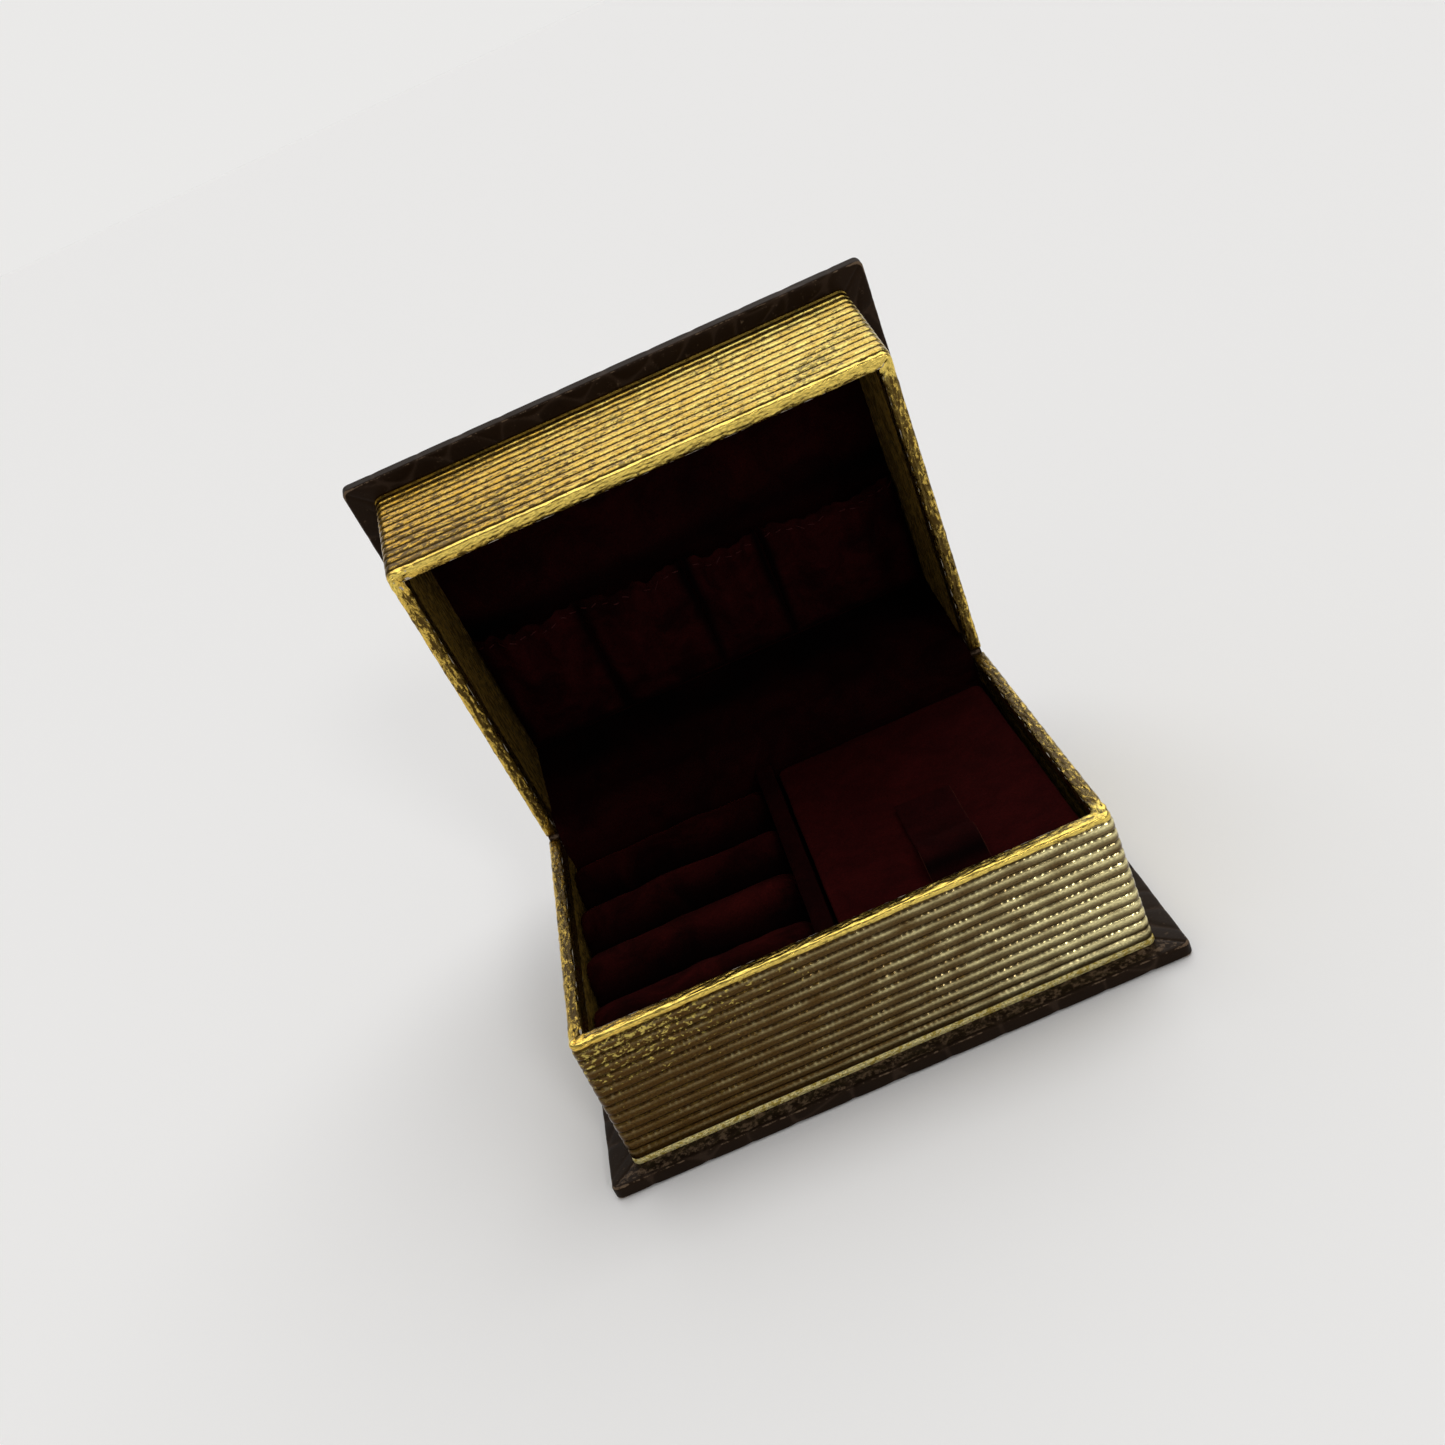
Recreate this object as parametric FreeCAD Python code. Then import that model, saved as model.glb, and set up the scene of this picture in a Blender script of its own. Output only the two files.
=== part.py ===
import FreeCAD, Part
import math
import os

os.makedirs("parts", exist_ok=True)

# A jewelry box shaped like a book, standing open on its lower cover.
# Origin: the middle of the lower cover's underside. X runs along the hinge, +Y towards the spine, +Z up.
# Lengths are in millimetres and angles in degrees.

# Page block of each half, measured over the ridges and up to the hinge line
block_width = 110.0
block_depth = 82.0
tray_height = 31.0

# Covers: a stiff board wrapped in leatherette, standing proud of the block on three sides
cover_overhang_side = 5.2
cover_overhang_front = 4.0
cover_board_thickness = 2.2
leatherette = 0.4
turn_in_width = 12.0
cover_corner_radius = 1.6
cover_edge_radius = 0.6

# Hinge: the spine folds along the line where the two rims meet
opening_angle = 75.0
spine_thickness = 0.6
hinge_clearance = 0.15
rim_gap = 0.2
back_wall_drop = 1.4

# Tray boards
wall = 2.2
floor_board = 2.0
wall_corner_radius = 1.0
wall_back_radius = 2.0

# Ribbed gold paper on the front and sides
page_paper = 0.4
rib_height = 0.5
rib_count = 12
page_foot = 1.2

# Smooth gold foil turned over the rim
foil = 0.2
rim_outer_lip = 1.2
rim_inner_lip = 4.0
lip_clearance = 0.15

# Linings: gold foil on thin card inside the front and side walls, velvet on the back walls and the lid's floor
lining = 0.5
lid_floor_velvet = 1.0

# Divider between the ring rolls and the covered compartment
divider_thickness = 4.0
divider_right_x = -0.4
divider_below_rim = 2.6
divider_edge_radius = 1.2

# Ring rolls on their bed
roll_count = 4
roll_bed_height = 5.0
roll_below_rim = 4.2
roll_clearance = 0.3
roll_side_height = 10.0
roll_draw_in = 0.5
roll_end_shrink = 1.4
roll_end_length = 3.5
roll_crown_rise = 0.5
roll_end_steps = 3

# Covered compartment and its flap
pad_thickness = 1.5
flap_below_rim = 3.0
flap_board_thickness = 1.5
flap_velvet = 0.5
flap_front_gap = 0.8
flap_left_gap = 0.8
flap_right_gap = 1.2
flap_back_inset = 8.5
flap_corner_radius = 2.0
flap_edge_radius = 0.4
ledge_width = 3.5
ledge_thickness = 2.0
tape_thickness = 0.5
tape_gap = 0.3

# Ribbon pull tab, fixed at the flap's front edge and lying back over it
tab_width = 12.0
tab_length = 31.0
tab_thickness = 0.7
tab_left_x = 20.0
tab_front_inset = 1.0
tab_lift = 0.2
tab_arch_length = 16.0
tab_arch_height = 2.4

# Gathered pockets in the lid: widths of all but the last, which takes what is left
pocket_widths = (25.0, 25.5, 18.5)
pocket_height_left = 37.0
pocket_height_right = 32.5
pocket_cloth = 1.2
pocket_seam_inset = 1.5
pocket_seam_lift = 0.3
pocket_side_gap = 0.4
pocket_bulge = 5.2
pocket_mouth = 5.6
pocket_gathers = 3
pocket_gather_depth = 0.3
pocket_sewn_fullness = 0.12
pocket_steps = 12

# Heights from the table
cover_thickness = cover_board_thickness + 2 * leatherette
rim_z = cover_thickness + tray_height
pivot_z = rim_z + rim_gap / 2
tray_floor_z = cover_thickness + floor_board

# Cover plate and hinge line
cover_half_x = block_width / 2 + cover_overhang_side
cover_depth = cover_overhang_front + block_depth - hinge_clearance
cover_front_y = -cover_depth / 2
spine_face_y = cover_depth / 2
pivot_y = spine_face_y + hinge_clearance
block_front_y = pivot_y - block_depth

# Faces of the tray's walls, outside, inside and over the velvet
page_edge = page_paper + rib_height
wall_half_x = block_width / 2 - page_edge
wall_front_y = block_front_y + page_edge
wall_back_y = spine_face_y - spine_thickness
inner_half_x = wall_half_x - wall
inner_front_y = wall_front_y + wall
inner_back_y = wall_back_y - wall
lined_half_x = inner_half_x - lining
lined_front_y = inner_front_y + lining
lined_back_y = inner_back_y - lining
divider_left_x = divider_right_x - divider_thickness


def save(name, shape):
    shape.exportStep("parts/" + name + ".step")


def block(x0, x1, y0, y1, z0, z1):
    """A box between two corners."""
    return Part.makeBox(x1 - x0, y1 - y0, z1 - z0, FreeCAD.Vector(x0, y0, z0))


def upright_edges(shape, y_limit=None):
    """The vertical edges of a box, or only those in front of y_limit."""
    found = []
    for edge in shape.Edges:
        bounds = edge.BoundBox
        upright = bounds.XLength < 1e-6 and bounds.YLength < 1e-6
        if upright and (y_limit is None or bounds.YMin < y_limit):
            found.append(edge)
    return found


def level_edges(shape, z):
    """The edges that lie in the horizontal plane at height z."""
    return [e for e in shape.Edges if abs(e.BoundBox.ZMin - z) < 1e-6 and abs(e.BoundBox.ZMax - z) < 1e-6]


def as_lid(shape):
    """The same piece on the lid: mirrored in the hinge plane, then opened about the hinge line."""
    shut = shape.mirror(FreeCAD.Vector(0, 0, pivot_z), FreeCAD.Vector(0, 0, 1))
    shut.rotate(FreeCAD.Vector(0, pivot_y, pivot_z), FreeCAD.Vector(-1, 0, 0), opening_angle)
    return shut


def lid_point(y, z):
    """Where a point of the base's side view lies on the open lid."""
    return as_lid(Part.Vertex(0, y, z)).Point


def wall_outline(offset, z0, z1, back_y):
    """A plate with the tray's outline in plan, offset outwards from the walls, front corners rounded."""
    half = wall_half_x + offset
    plate = block(-half, half, wall_front_y - offset, back_y, z0, z1)
    radius = wall_corner_radius + offset
    if radius > 0:
        plate = plate.makeFillet(radius, upright_edges(plate, inner_front_y))
    return plate


def three_sided(outer, inner, z0, z1, back_y):
    """A band along the front and both sides, between two offsets from the walls' outer faces."""
    return wall_outline(outer, z0, z1, back_y).cut(wall_outline(inner, z0, z1, back_y + wall))


def round_at_hinge(shape, top_z):
    """Round off the upper back corner, where a side wall ends at the hinge."""
    low = top_z - wall_back_radius
    back = wall_back_y - wall_back_radius
    corner = block(-cover_half_x, cover_half_x, back, pivot_y, low, top_z + wall)
    start = FreeCAD.Vector(-cover_half_x, back, low)
    corner = corner.cut(Part.makeCylinder(wall_back_radius, 2 * cover_half_x, start, FreeCAD.Vector(1, 0, 0)))
    return shape.cut(corner)


def cover_board():
    """The stiff board inside a cover."""
    half = cover_half_x - leatherette
    front = cover_front_y + leatherette
    board = block(-half, half, front, spine_face_y - leatherette, leatherette, leatherette + cover_board_thickness)
    return board.makeFillet(cover_corner_radius - leatherette, upright_edges(board))


def cover_wrap():
    """Leatherette round the board, turned in over its edges, with a window where the tray is glued."""
    wrap = block(-cover_half_x, cover_half_x, cover_front_y, spine_face_y, 0, cover_thickness)
    wrap = wrap.makeFillet(cover_corner_radius, upright_edges(wrap))
    wrap = wrap.makeFillet(cover_edge_radius, level_edges(wrap, 0) + level_edges(wrap, cover_thickness))
    half = cover_half_x - turn_in_width
    front = cover_front_y + turn_in_width
    back = spine_face_y - turn_in_width
    window = block(-half, half, front, back, leatherette, cover_thickness)
    return wrap.cut(cover_board()).cut(window)


def spine_panel():
    """Half of the spine's leatherette, from the cover up to the fold."""
    half = block_width / 2
    return block(-half, half, wall_back_y, spine_face_y, cover_thickness, rim_z)


def tray_floor():
    """The tray's floor, between its walls."""
    return block(-inner_half_x, inner_half_x, inner_front_y, inner_back_y, cover_thickness, tray_floor_z)


def front_wall():
    """The wall behind the gilt fore edge."""
    return block(-inner_half_x, inner_half_x, wall_front_y, inner_front_y, cover_thickness, rim_z - foil)


def back_wall():
    """The wall at the spine, lower than the rim to leave room for the velvet hinge."""
    top = rim_z - back_wall_drop
    return block(-inner_half_x, inner_half_x, inner_back_y, wall_back_y, cover_thickness, top)


def side_wall(side):
    """A side wall, the whole depth of the tray, with a rounded front corner; side is -1 left, 1 right."""
    x0, x1 = sorted((side * inner_half_x, side * wall_half_x))
    panel = block(x0, x1, wall_front_y, wall_back_y, cover_thickness, rim_z - foil)
    panel = panel.common(wall_outline(0, cover_thickness, rim_z, pivot_y))
    return round_at_hinge(panel, rim_z - foil)


def ridge_profile(origin, outward):
    """Section of the ribbed paper: flat against the wall, a row of low round ridges on the outside."""
    top = rim_z - foil
    first = cover_thickness + page_foot
    pitch = (rim_z - rim_outer_lip - lip_clearance - first) / rib_count

    def at(out, z):
        return origin + outward * out + FreeCAD.Vector(0, 0, z)

    edges = [Part.makeLine(at(0, cover_thickness), at(page_paper, cover_thickness))]
    edges.append(Part.makeLine(at(page_paper, cover_thickness), at(page_paper, first)))
    for i in range(rib_count):
        z = first + i * pitch
        crest = at(page_edge, z + pitch / 2)
        edges.append(Part.Arc(at(page_paper, z), crest, at(page_paper, z + pitch)).toShape())
    last = first + rib_count * pitch
    edges.append(Part.makeLine(at(page_paper, last), at(page_paper, top)))
    edges.append(Part.makeLine(at(page_paper, top), at(0, top)))
    edges.append(Part.makeLine(at(0, top), at(0, cover_thickness)))
    return Part.Face(Part.Wire(edges))


def page_edges():
    """Ribbed gold paper along one side, round a corner, along the front, and back along the other side."""
    left = FreeCAD.Vector(-1, 0, 0)
    front = FreeCAD.Vector(0, -1, 0)
    right = FreeCAD.Vector(1, 0, 0)
    up = FreeCAD.Vector(0, 0, 1)
    turn_x = wall_half_x - wall_corner_radius
    turn_y = wall_front_y + wall_corner_radius
    run = wall_back_y - turn_y
    left_axis = FreeCAD.Vector(-turn_x, turn_y, 0)
    right_axis = FreeCAD.Vector(turn_x, turn_y, 0)
    left_face = ridge_profile(left_axis + left * wall_corner_radius, left)
    front_face = ridge_profile(left_axis + front * wall_corner_radius, front)
    right_face = ridge_profile(right_axis + right * wall_corner_radius, right)
    turned_face = ridge_profile(right_axis + front * wall_corner_radius, front)
    strip = left_face.extrude(FreeCAD.Vector(0, run, 0)).fuse([
        left_face.revolve(left_axis, up, 90),
        front_face.extrude(FreeCAD.Vector(2 * turn_x, 0, 0)),
        turned_face.revolve(right_axis, up, 90),
        right_face.extrude(FreeCAD.Vector(0, run, 0)),
    ])
    return round_at_hinge(strip.removeSplitter(), rim_z - foil)


def rim_foil():
    """Smooth foil saddled over the rim: an outer lip, the rim itself and a deeper lip inside the walls."""
    outer = page_paper + foil
    cap = three_sided(outer, -wall - foil, rim_z - foil, rim_z, wall_back_y)
    lip_out = three_sided(outer, page_paper, rim_z - rim_outer_lip, rim_z, wall_back_y)
    lip_in = three_sided(-wall, -wall - foil, rim_z - rim_inner_lip, rim_z, inner_back_y)
    return round_at_hinge(cap.fuse([lip_out, lip_in]).removeSplitter(), rim_z)


def wall_lining():
    """Gold foil on thin card along the front and side walls, from the floor up to the rim's inner lip."""
    return three_sided(-wall, -wall - lining, tray_floor_z, rim_z - rim_inner_lip, lined_back_y)


def hinge_strip():
    """One strip of velvet up the base's back wall, across the open hinge and along the lid's back wall."""
    top = rim_z - back_wall_drop
    near = [(lined_back_y, tray_floor_z), (lined_back_y, top)]
    far = [(inner_back_y, top), (inner_back_y, tray_floor_z)]
    outline = [FreeCAD.Vector(0, y, z) for y, z in near]
    outline += [lid_point(y, z) for y, z in reversed(near)]
    outline += [lid_point(y, z) for y, z in reversed(far)]
    outline += [FreeCAD.Vector(0, y, z) for y, z in far]
    face = Part.Face(Part.makePolygon(outline + outline[:1]))
    face.translate(FreeCAD.Vector(-lined_half_x, 0, 0))
    return face.extrude(FreeCAD.Vector(2 * lined_half_x, 0, 0))


def roll_section(x, middle_y, half, height):
    """Section of a ring roll: flat foot, sides drawn in to the foot, and a round crown of two arcs."""
    foot_z = tray_floor_z + roll_bed_height
    foot = half - roll_draw_in
    rise = height - roll_side_height
    bend = 0.5 ** 0.5

    def at(y, z):
        return FreeCAD.Vector(x, middle_y + y, foot_z + z)

    shoulder = roll_side_height + rise * bend
    crown_right = Part.Arc(at(half, roll_side_height), at(half * bend, shoulder), at(0, height))
    crown_left = Part.Arc(at(0, height), at(-half * bend, shoulder), at(-half, roll_side_height))
    return Part.Wire([
        Part.makeLine(at(-foot, 0), at(foot, 0)),
        Part.makeLine(at(foot, 0), at(half, roll_side_height)),
        crown_right.toShape(),
        crown_left.toShape(),
        Part.makeLine(at(-half, roll_side_height), at(-foot, 0)),
    ])


def ring_roll(middle_y, half):
    """A padded roll along X: rounded off at both ends, its crown rising a little to the middle."""
    x0 = -lined_half_x + roll_clearance
    x1 = divider_left_x - roll_clearance
    crest = rim_z - roll_below_rim - tray_floor_z - roll_bed_height
    stations = [((x0 + x1) / 2, half, crest)]
    for step in range(roll_end_steps + 1):
        bend = step / roll_end_steps * math.pi / 2
        along = roll_end_length * (1 - math.sin(bend))
        shrink = roll_end_shrink * (1 - math.cos(bend))
        height = crest - roll_crown_rise - shrink
        stations.insert(0, (x0 + along, half - shrink, height))
        stations.append((x1 - along, half - shrink, height))
    return Part.makeLoft([roll_section(x, middle_y, h, z) for x, h, z in stations], True, True)


def flap_body(margin):
    """The flap's plate, drawn in from its outer faces by a margin."""
    x0 = divider_right_x + flap_left_gap + margin
    x1 = lined_half_x - flap_right_gap - margin
    y0 = lined_front_y + flap_front_gap + margin
    plate = block(x0, x1, y0, flap_back_y - margin, flap_bottom_z + margin, flap_top_z - margin)
    return plate.makeFillet(flap_corner_radius - margin, upright_edges(plate, y0 + ledge_width))


def pull_tab():
    """A ribbon: arched where it leaves the flap's front edge, then flat on the flap."""
    start = tab_pivot_y
    low = flap_top_z + tab_lift
    middle = start + tab_arch_length / 2
    landing = start + tab_arch_length
    end = start + tab_length
    high = low + tab_thickness

    def at(y, z):
        return FreeCAD.Vector(tab_left_x, y, z)

    under = Part.Arc(at(start, low), at(middle, low + tab_arch_height), at(landing, low))
    over = Part.Arc(at(landing, high), at(middle, high + tab_arch_height), at(start, high))
    outline = Part.Wire([
        under.toShape(),
        Part.makeLine(at(landing, low), at(end, low)),
        Part.makeLine(at(end, low), at(end, high)),
        Part.makeLine(at(end, high), at(landing, high)),
        over.toShape(),
        Part.makeLine(at(start, high), at(start, low)),
    ])
    return Part.Face(outline).extrude(FreeCAD.Vector(tab_width, 0, 0))


def pocket_section(x, fullness):
    """Section of a pocket at x: from the seam by the back wall to the hem, bowed away from the lid's floor."""
    share = (x + lined_half_x) / (2 * lined_half_x)
    height = pocket_height_left + share * (pocket_height_right - pocket_height_left)
    floor_z = tray_floor_z + lid_floor_velvet + pocket_seam_lift
    hem_y = pocket_seam_y - height
    middle_y = pocket_seam_y - height / 2
    mouth_z = floor_z + pocket_mouth * fullness
    middle_z = floor_z + pocket_bulge * fullness

    def at(y, z):
        return FreeCAD.Vector(x, y, z)

    under = Part.Arc(at(pocket_seam_y, floor_z), at(middle_y, middle_z), at(hem_y, mouth_z))
    seam_top = at(pocket_seam_y, floor_z + pocket_cloth)
    hem_top = at(hem_y, mouth_z + pocket_cloth)
    over = Part.Arc(hem_top, at(middle_y, middle_z + pocket_cloth), seam_top)
    return Part.Wire([
        under.toShape(),
        Part.makeLine(at(hem_y, mouth_z), hem_top),
        over.toShape(),
        Part.makeLine(seam_top, at(pocket_seam_y, floor_z)),
    ])


def pocket_front(x0, x1):
    """One gathered pocket: close to the lid's floor at its sewn sides, full and folded between them."""
    sections = []
    for step in range(pocket_steps + 1):
        share = step / pocket_steps
        swell = math.sin(math.pi * share) ** 0.5
        fold = 1 - pocket_gather_depth * (1 - math.cos(2 * math.pi * pocket_gathers * share)) / 2
        fullness = pocket_sewn_fullness + (1 - pocket_sewn_fullness) * swell * fold
        sections.append(pocket_section(x0 + share * (x1 - x0), fullness))
    return Part.makeLoft(sections, True, True)


# Both halves: cover, spine, tray, gold paper and foil, and wall lining
half_pieces = {
    "cover_board": cover_board(),
    "cover_wrap": cover_wrap(),
    "spine_panel": spine_panel(),
    "floor_board": tray_floor(),
    "front_wall": front_wall(),
    "back_wall": back_wall(),
    "left_wall": side_wall(-1),
    "right_wall": side_wall(1),
    "page_edges": page_edges(),
    "rim_foil": rim_foil(),
    "wall_lining": wall_lining(),
}
for piece_name, piece in half_pieces.items():
    save("base_" + piece_name, piece)
    save("lid_" + piece_name, as_lid(piece))

# The velvet that crosses the hinge
save("velvet_hinge_strip", hinge_strip())

# Divider, from the floor to just below the rim, its two top edges softened
divider_top_z = rim_z - divider_below_rim
divider = block(divider_left_x, divider_right_x, lined_front_y, lined_back_y, tray_floor_z, divider_top_z)
top_edges = [e for e in level_edges(divider, divider_top_z) if e.BoundBox.XLength < divider_thickness / 2]
save("compartment_divider", divider.makeFillet(divider_edge_radius, top_edges))

# Ring rolls side by side on their bed
bed_top_z = tray_floor_z + roll_bed_height
save("ring_roll_bed", block(-lined_half_x, divider_left_x, lined_front_y, lined_back_y, tray_floor_z, bed_top_z))
roll_pitch = (lined_back_y - lined_front_y) / roll_count
for number in range(1, roll_count + 1):
    roll_middle_y = lined_front_y + (number - 0.5) * roll_pitch
    save("ring_roll_%d" % number, ring_roll(roll_middle_y, roll_pitch / 2 - roll_clearance / 2))

# Covered compartment: floor pad, the strips that the flap lies on, and its velvet hinge
flap_thickness = flap_board_thickness + 2 * flap_velvet
flap_top_z = rim_z - flap_below_rim
flap_bottom_z = flap_top_z - flap_thickness
flap_back_y = pivot_y - flap_back_inset
flap_front_y = lined_front_y + flap_front_gap
ledge_z = flap_bottom_z - ledge_thickness
rail_front_y = flap_back_y - ledge_width
tape_front_y = flap_back_y + tape_gap
tape_top_z = flap_bottom_z + tape_thickness
pad_top_z = tray_floor_z + pad_thickness
save("compartment_floor_pad",
     block(divider_right_x, lined_half_x, lined_front_y, lined_back_y, tray_floor_z, pad_top_z))
save("flap_rest_front",
     block(divider_right_x, lined_half_x, lined_front_y, flap_front_y + ledge_width, ledge_z, flap_bottom_z))
save("flap_hinge_rail",
     block(divider_right_x, lined_half_x, rail_front_y, lined_back_y, ledge_z, flap_bottom_z))
save("flap_hinge_tape",
     block(divider_right_x, lined_half_x, tape_front_y, lined_back_y, flap_bottom_z, tape_top_z))

# Flap: a board in its velvet, hinged at the back edge
flap_outer = flap_body(0)
flap_outer = flap_outer.makeFillet(flap_edge_radius, level_edges(flap_outer, flap_top_z))
board = flap_body(flap_velvet)
save("flap_board", board)
save("flap_velvet", flap_outer.cut(board))

# Ribbon pull tab
tab_pivot_y = flap_front_y + tab_front_inset
save("pull_tab", pull_tab())

# Lid: velvet floor and the row of gathered pockets
floor_top_z = tray_floor_z + lid_floor_velvet
save("lid_floor_lining",
     as_lid(block(-lined_half_x, lined_half_x, lined_front_y, lined_back_y, tray_floor_z, floor_top_z)))
pocket_seam_y = lined_back_y - pocket_seam_inset
pocket_left_x = -lined_half_x + pocket_side_gap
last_width = 2 * (lined_half_x - pocket_side_gap) - sum(pocket_widths)
for number, width in enumerate(pocket_widths + (last_width,), start=1):
    pocket_right_x = pocket_left_x + width
    inset = pocket_side_gap / 2
    save("pocket_front_%d" % number, as_lid(pocket_front(pocket_left_x + inset, pocket_right_x - inset)))
    pocket_left_x = pocket_right_x
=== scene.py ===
import math

import bpy
import numpy as np
from mathutils import Matrix


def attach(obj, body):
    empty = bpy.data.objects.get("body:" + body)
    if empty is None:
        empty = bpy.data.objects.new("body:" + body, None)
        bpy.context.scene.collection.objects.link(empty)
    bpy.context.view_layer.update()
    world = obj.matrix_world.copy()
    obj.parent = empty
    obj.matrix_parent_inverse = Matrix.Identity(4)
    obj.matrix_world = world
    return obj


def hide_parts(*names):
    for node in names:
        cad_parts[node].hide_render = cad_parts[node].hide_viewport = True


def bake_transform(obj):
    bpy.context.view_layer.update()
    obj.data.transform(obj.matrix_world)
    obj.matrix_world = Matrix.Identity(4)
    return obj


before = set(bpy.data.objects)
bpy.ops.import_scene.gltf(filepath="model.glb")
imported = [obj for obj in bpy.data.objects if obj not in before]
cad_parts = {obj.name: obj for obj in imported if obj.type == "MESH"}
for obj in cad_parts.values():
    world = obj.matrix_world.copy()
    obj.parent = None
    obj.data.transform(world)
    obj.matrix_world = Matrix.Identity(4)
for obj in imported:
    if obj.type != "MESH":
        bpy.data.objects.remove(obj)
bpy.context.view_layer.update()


# Boards: grey pasteboard inside both covers, in the walls and floors of both trays and in the flap.
# Cut flat and glued edge to edge; leatherette, gold paper or velvet covers nearly all of it.

def connect(tree, node, inputs):
    """Sets each of these inputs of a shader node to a value, or links it to a socket."""
    for name, value in inputs.items():
        if isinstance(value, bpy.types.NodeSocket):
            tree.links.new(value, node.inputs[name])
        else:
            node.inputs[name].default_value = value


def add(tree, kind, settings, inputs):
    """A new shader node with these settings and inputs."""
    node = tree.nodes.new(kind)
    for name, value in settings.items():
        setattr(node, name, value)
    connect(tree, node, inputs)
    return node


def new_finish(name, inputs):
    """A material of one Principled shader with these plain inputs, its node tree and its shader."""
    material = bpy.data.materials.new(name)
    material.use_nodes = True
    tree = material.node_tree
    tree.nodes.clear()
    shader = add(tree, "ShaderNodeBsdfPrincipled", {}, inputs)
    add(tree, "ShaderNodeOutputMaterial", {}, {"Surface": shader.outputs["BSDF"]})
    return material, tree, shader


def object_place(tree):
    """The place on the object, in metres."""
    return add(tree, "ShaderNodeTexCoord", {}, {}).outputs["Object"]


def noise(tree, place, scale, detail, roughness=0.5, distortion=0.0):
    """An uneven value from 0 to 1 at a place, with about scale waves to its unit."""
    return add(tree, "ShaderNodeTexNoise", {}, {
        "Vector": place, "Scale": scale, "Detail": detail, "Roughness": roughness,
        "Distortion": distortion}).outputs["Fac"]


def spread(tree, value, low, high, to_low=0.0, to_high=1.0, curve="LINEAR"):
    """A value carried over from the range low to high into another range, and held at its ends."""
    return add(tree, "ShaderNodeMapRange", {"interpolation_type": curve}, {
        "Value": value, "From Min": low, "From Max": high, "To Min": to_low, "To Max": to_high}).outputs["Result"]


def blended(tree, share, first, second):
    """The first colour with a share of the second in it."""
    return add(tree, "ShaderNodeMix", {"data_type": "RGBA"}, {
        "Factor": share, "A": first, "B": second}).outputs["Result"]


def dents(tree, height, strength, distance):
    """The normal of a surface that a height from 0 to 1 lifts by up to a distance in metres."""
    return add(tree, "ShaderNodeBump", {}, {
        "Strength": strength, "Distance": distance, "Height": height}).outputs["Normal"]


pasteboard, tree, shader = new_finish("pasteboard", {"Roughness": 0.9})
fibres = noise(tree, object_place(tree), 900, 5, 0.7)
fleck = blended(tree, spread(tree, fibres, 0.35, 0.60), (0.30, 0.26, 0.20, 1), (0.47, 0.42, 0.34, 1))
connect(tree, shader, {"Base Color": fleck, "Normal": dents(tree, fibres, 0.4, 0.0002)})
boards = ["cover_board", "floor_board", "front_wall", "back_wall", "left_wall", "right_wall"]
for node_name in ["base_" + b for b in boards] + ["lid_" + b for b in boards] + ["flap_board", "ring_roll_bed"]:
    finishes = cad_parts[node_name].data.materials
    finishes.clear()
    finishes.append(pasteboard)


# Covers: dark brown leatherette with an embossed crocodile pattern, wrapped round a board, its edges turned in
# 12 mm and mitred at the corners. The overhang shows round the page block on three sides; the edges are worn, and
# the base's front margin is paler still, partly from wear and partly as painted light.

hinge_y, hinge_z, opening = 43.075, 34.1, math.radians(75)
cover_half_x, cover_half_y, cover_thick, cover_corner = 60.2, 42.925, 3.0, 1.6
scene = bpy.context.scene
mm = 0.001
sunk = 0.03  # how far inside its solid a surface lies


def opened(points, angle):
    """The points turned open about the hinge line by an angle, which may differ from point to point."""
    y, z = points[..., 1] - hinge_y, points[..., 2] - hinge_z
    cos, sin = np.cos(angle), np.sin(angle)
    return np.stack([points[..., 0], hinge_y + y * cos + z * sin, hinge_z - y * sin + z * cos], -1)


def on_lid(points):
    """The same points on the open lid: mirrored in the hinge plane, then turned open."""
    return opened(points * [1, 1, -1] + [0, 0, 2 * hinge_z], opening)


# Each half: its name, what puts points in their place, and the turn of its faces, which a mirror reverses
halves = (("base", np.copy, 1), ("lid", on_lid, -1))


def ramp(value, start, end):
    """0 at the start, 1 at the end, straight between them and level beyond."""
    return np.clip((value - start) / (end - start), 0, 1)


def eased(share):
    """A share from 0 to 1 that leaves and arrives gently."""
    return share * share * (3 - 2 * share)


def bell(value, middle, width):
    """1 in the middle, falling off on both sides as a bell curve of that width."""
    return np.exp(-((value - middle) / width) ** 2)


def runs(line):
    """The length of a line of points up to each of them."""
    return np.concatenate([[0], np.cumsum(np.linalg.norm(np.diff(line, axis=0), axis=1))])


def grid_faces(rows, columns, loop=False):
    """Quads between neighbouring points of a grid; with loop, the last column joins the first."""
    r = np.arange(rows - 1)[:, None] * columns
    c = np.arange(columns if loop else columns - 1)[None, :]
    d = (c + 1) % columns
    return np.stack([r + c, r + d, r + d + columns, r + c + columns], -1).reshape(-1, 4)


def surface(x, y, z):
    """The points of a grid from its three coordinates, and its quads."""
    grid = np.stack(np.broadcast_arrays(x, y, z), -1)
    return grid.reshape(-1, 3), grid_faces(*grid.shape[:2])


def lifted(points, faces, height):
    """Each point moved by its height along the surface's normal there, the sum of the normals of its faces."""
    corner = points[faces]
    across = np.cross(corner[:, 2] - corner[:, 0], corner[:, 3] - corner[:, 1])
    normal = np.zeros_like(points)
    for k in range(4):
        np.add.at(normal, faces[:, k], across)
    normal /= np.maximum(np.linalg.norm(normal, axis=1, keepdims=True), 1e-12)
    return points + normal * height[:, None]


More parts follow.
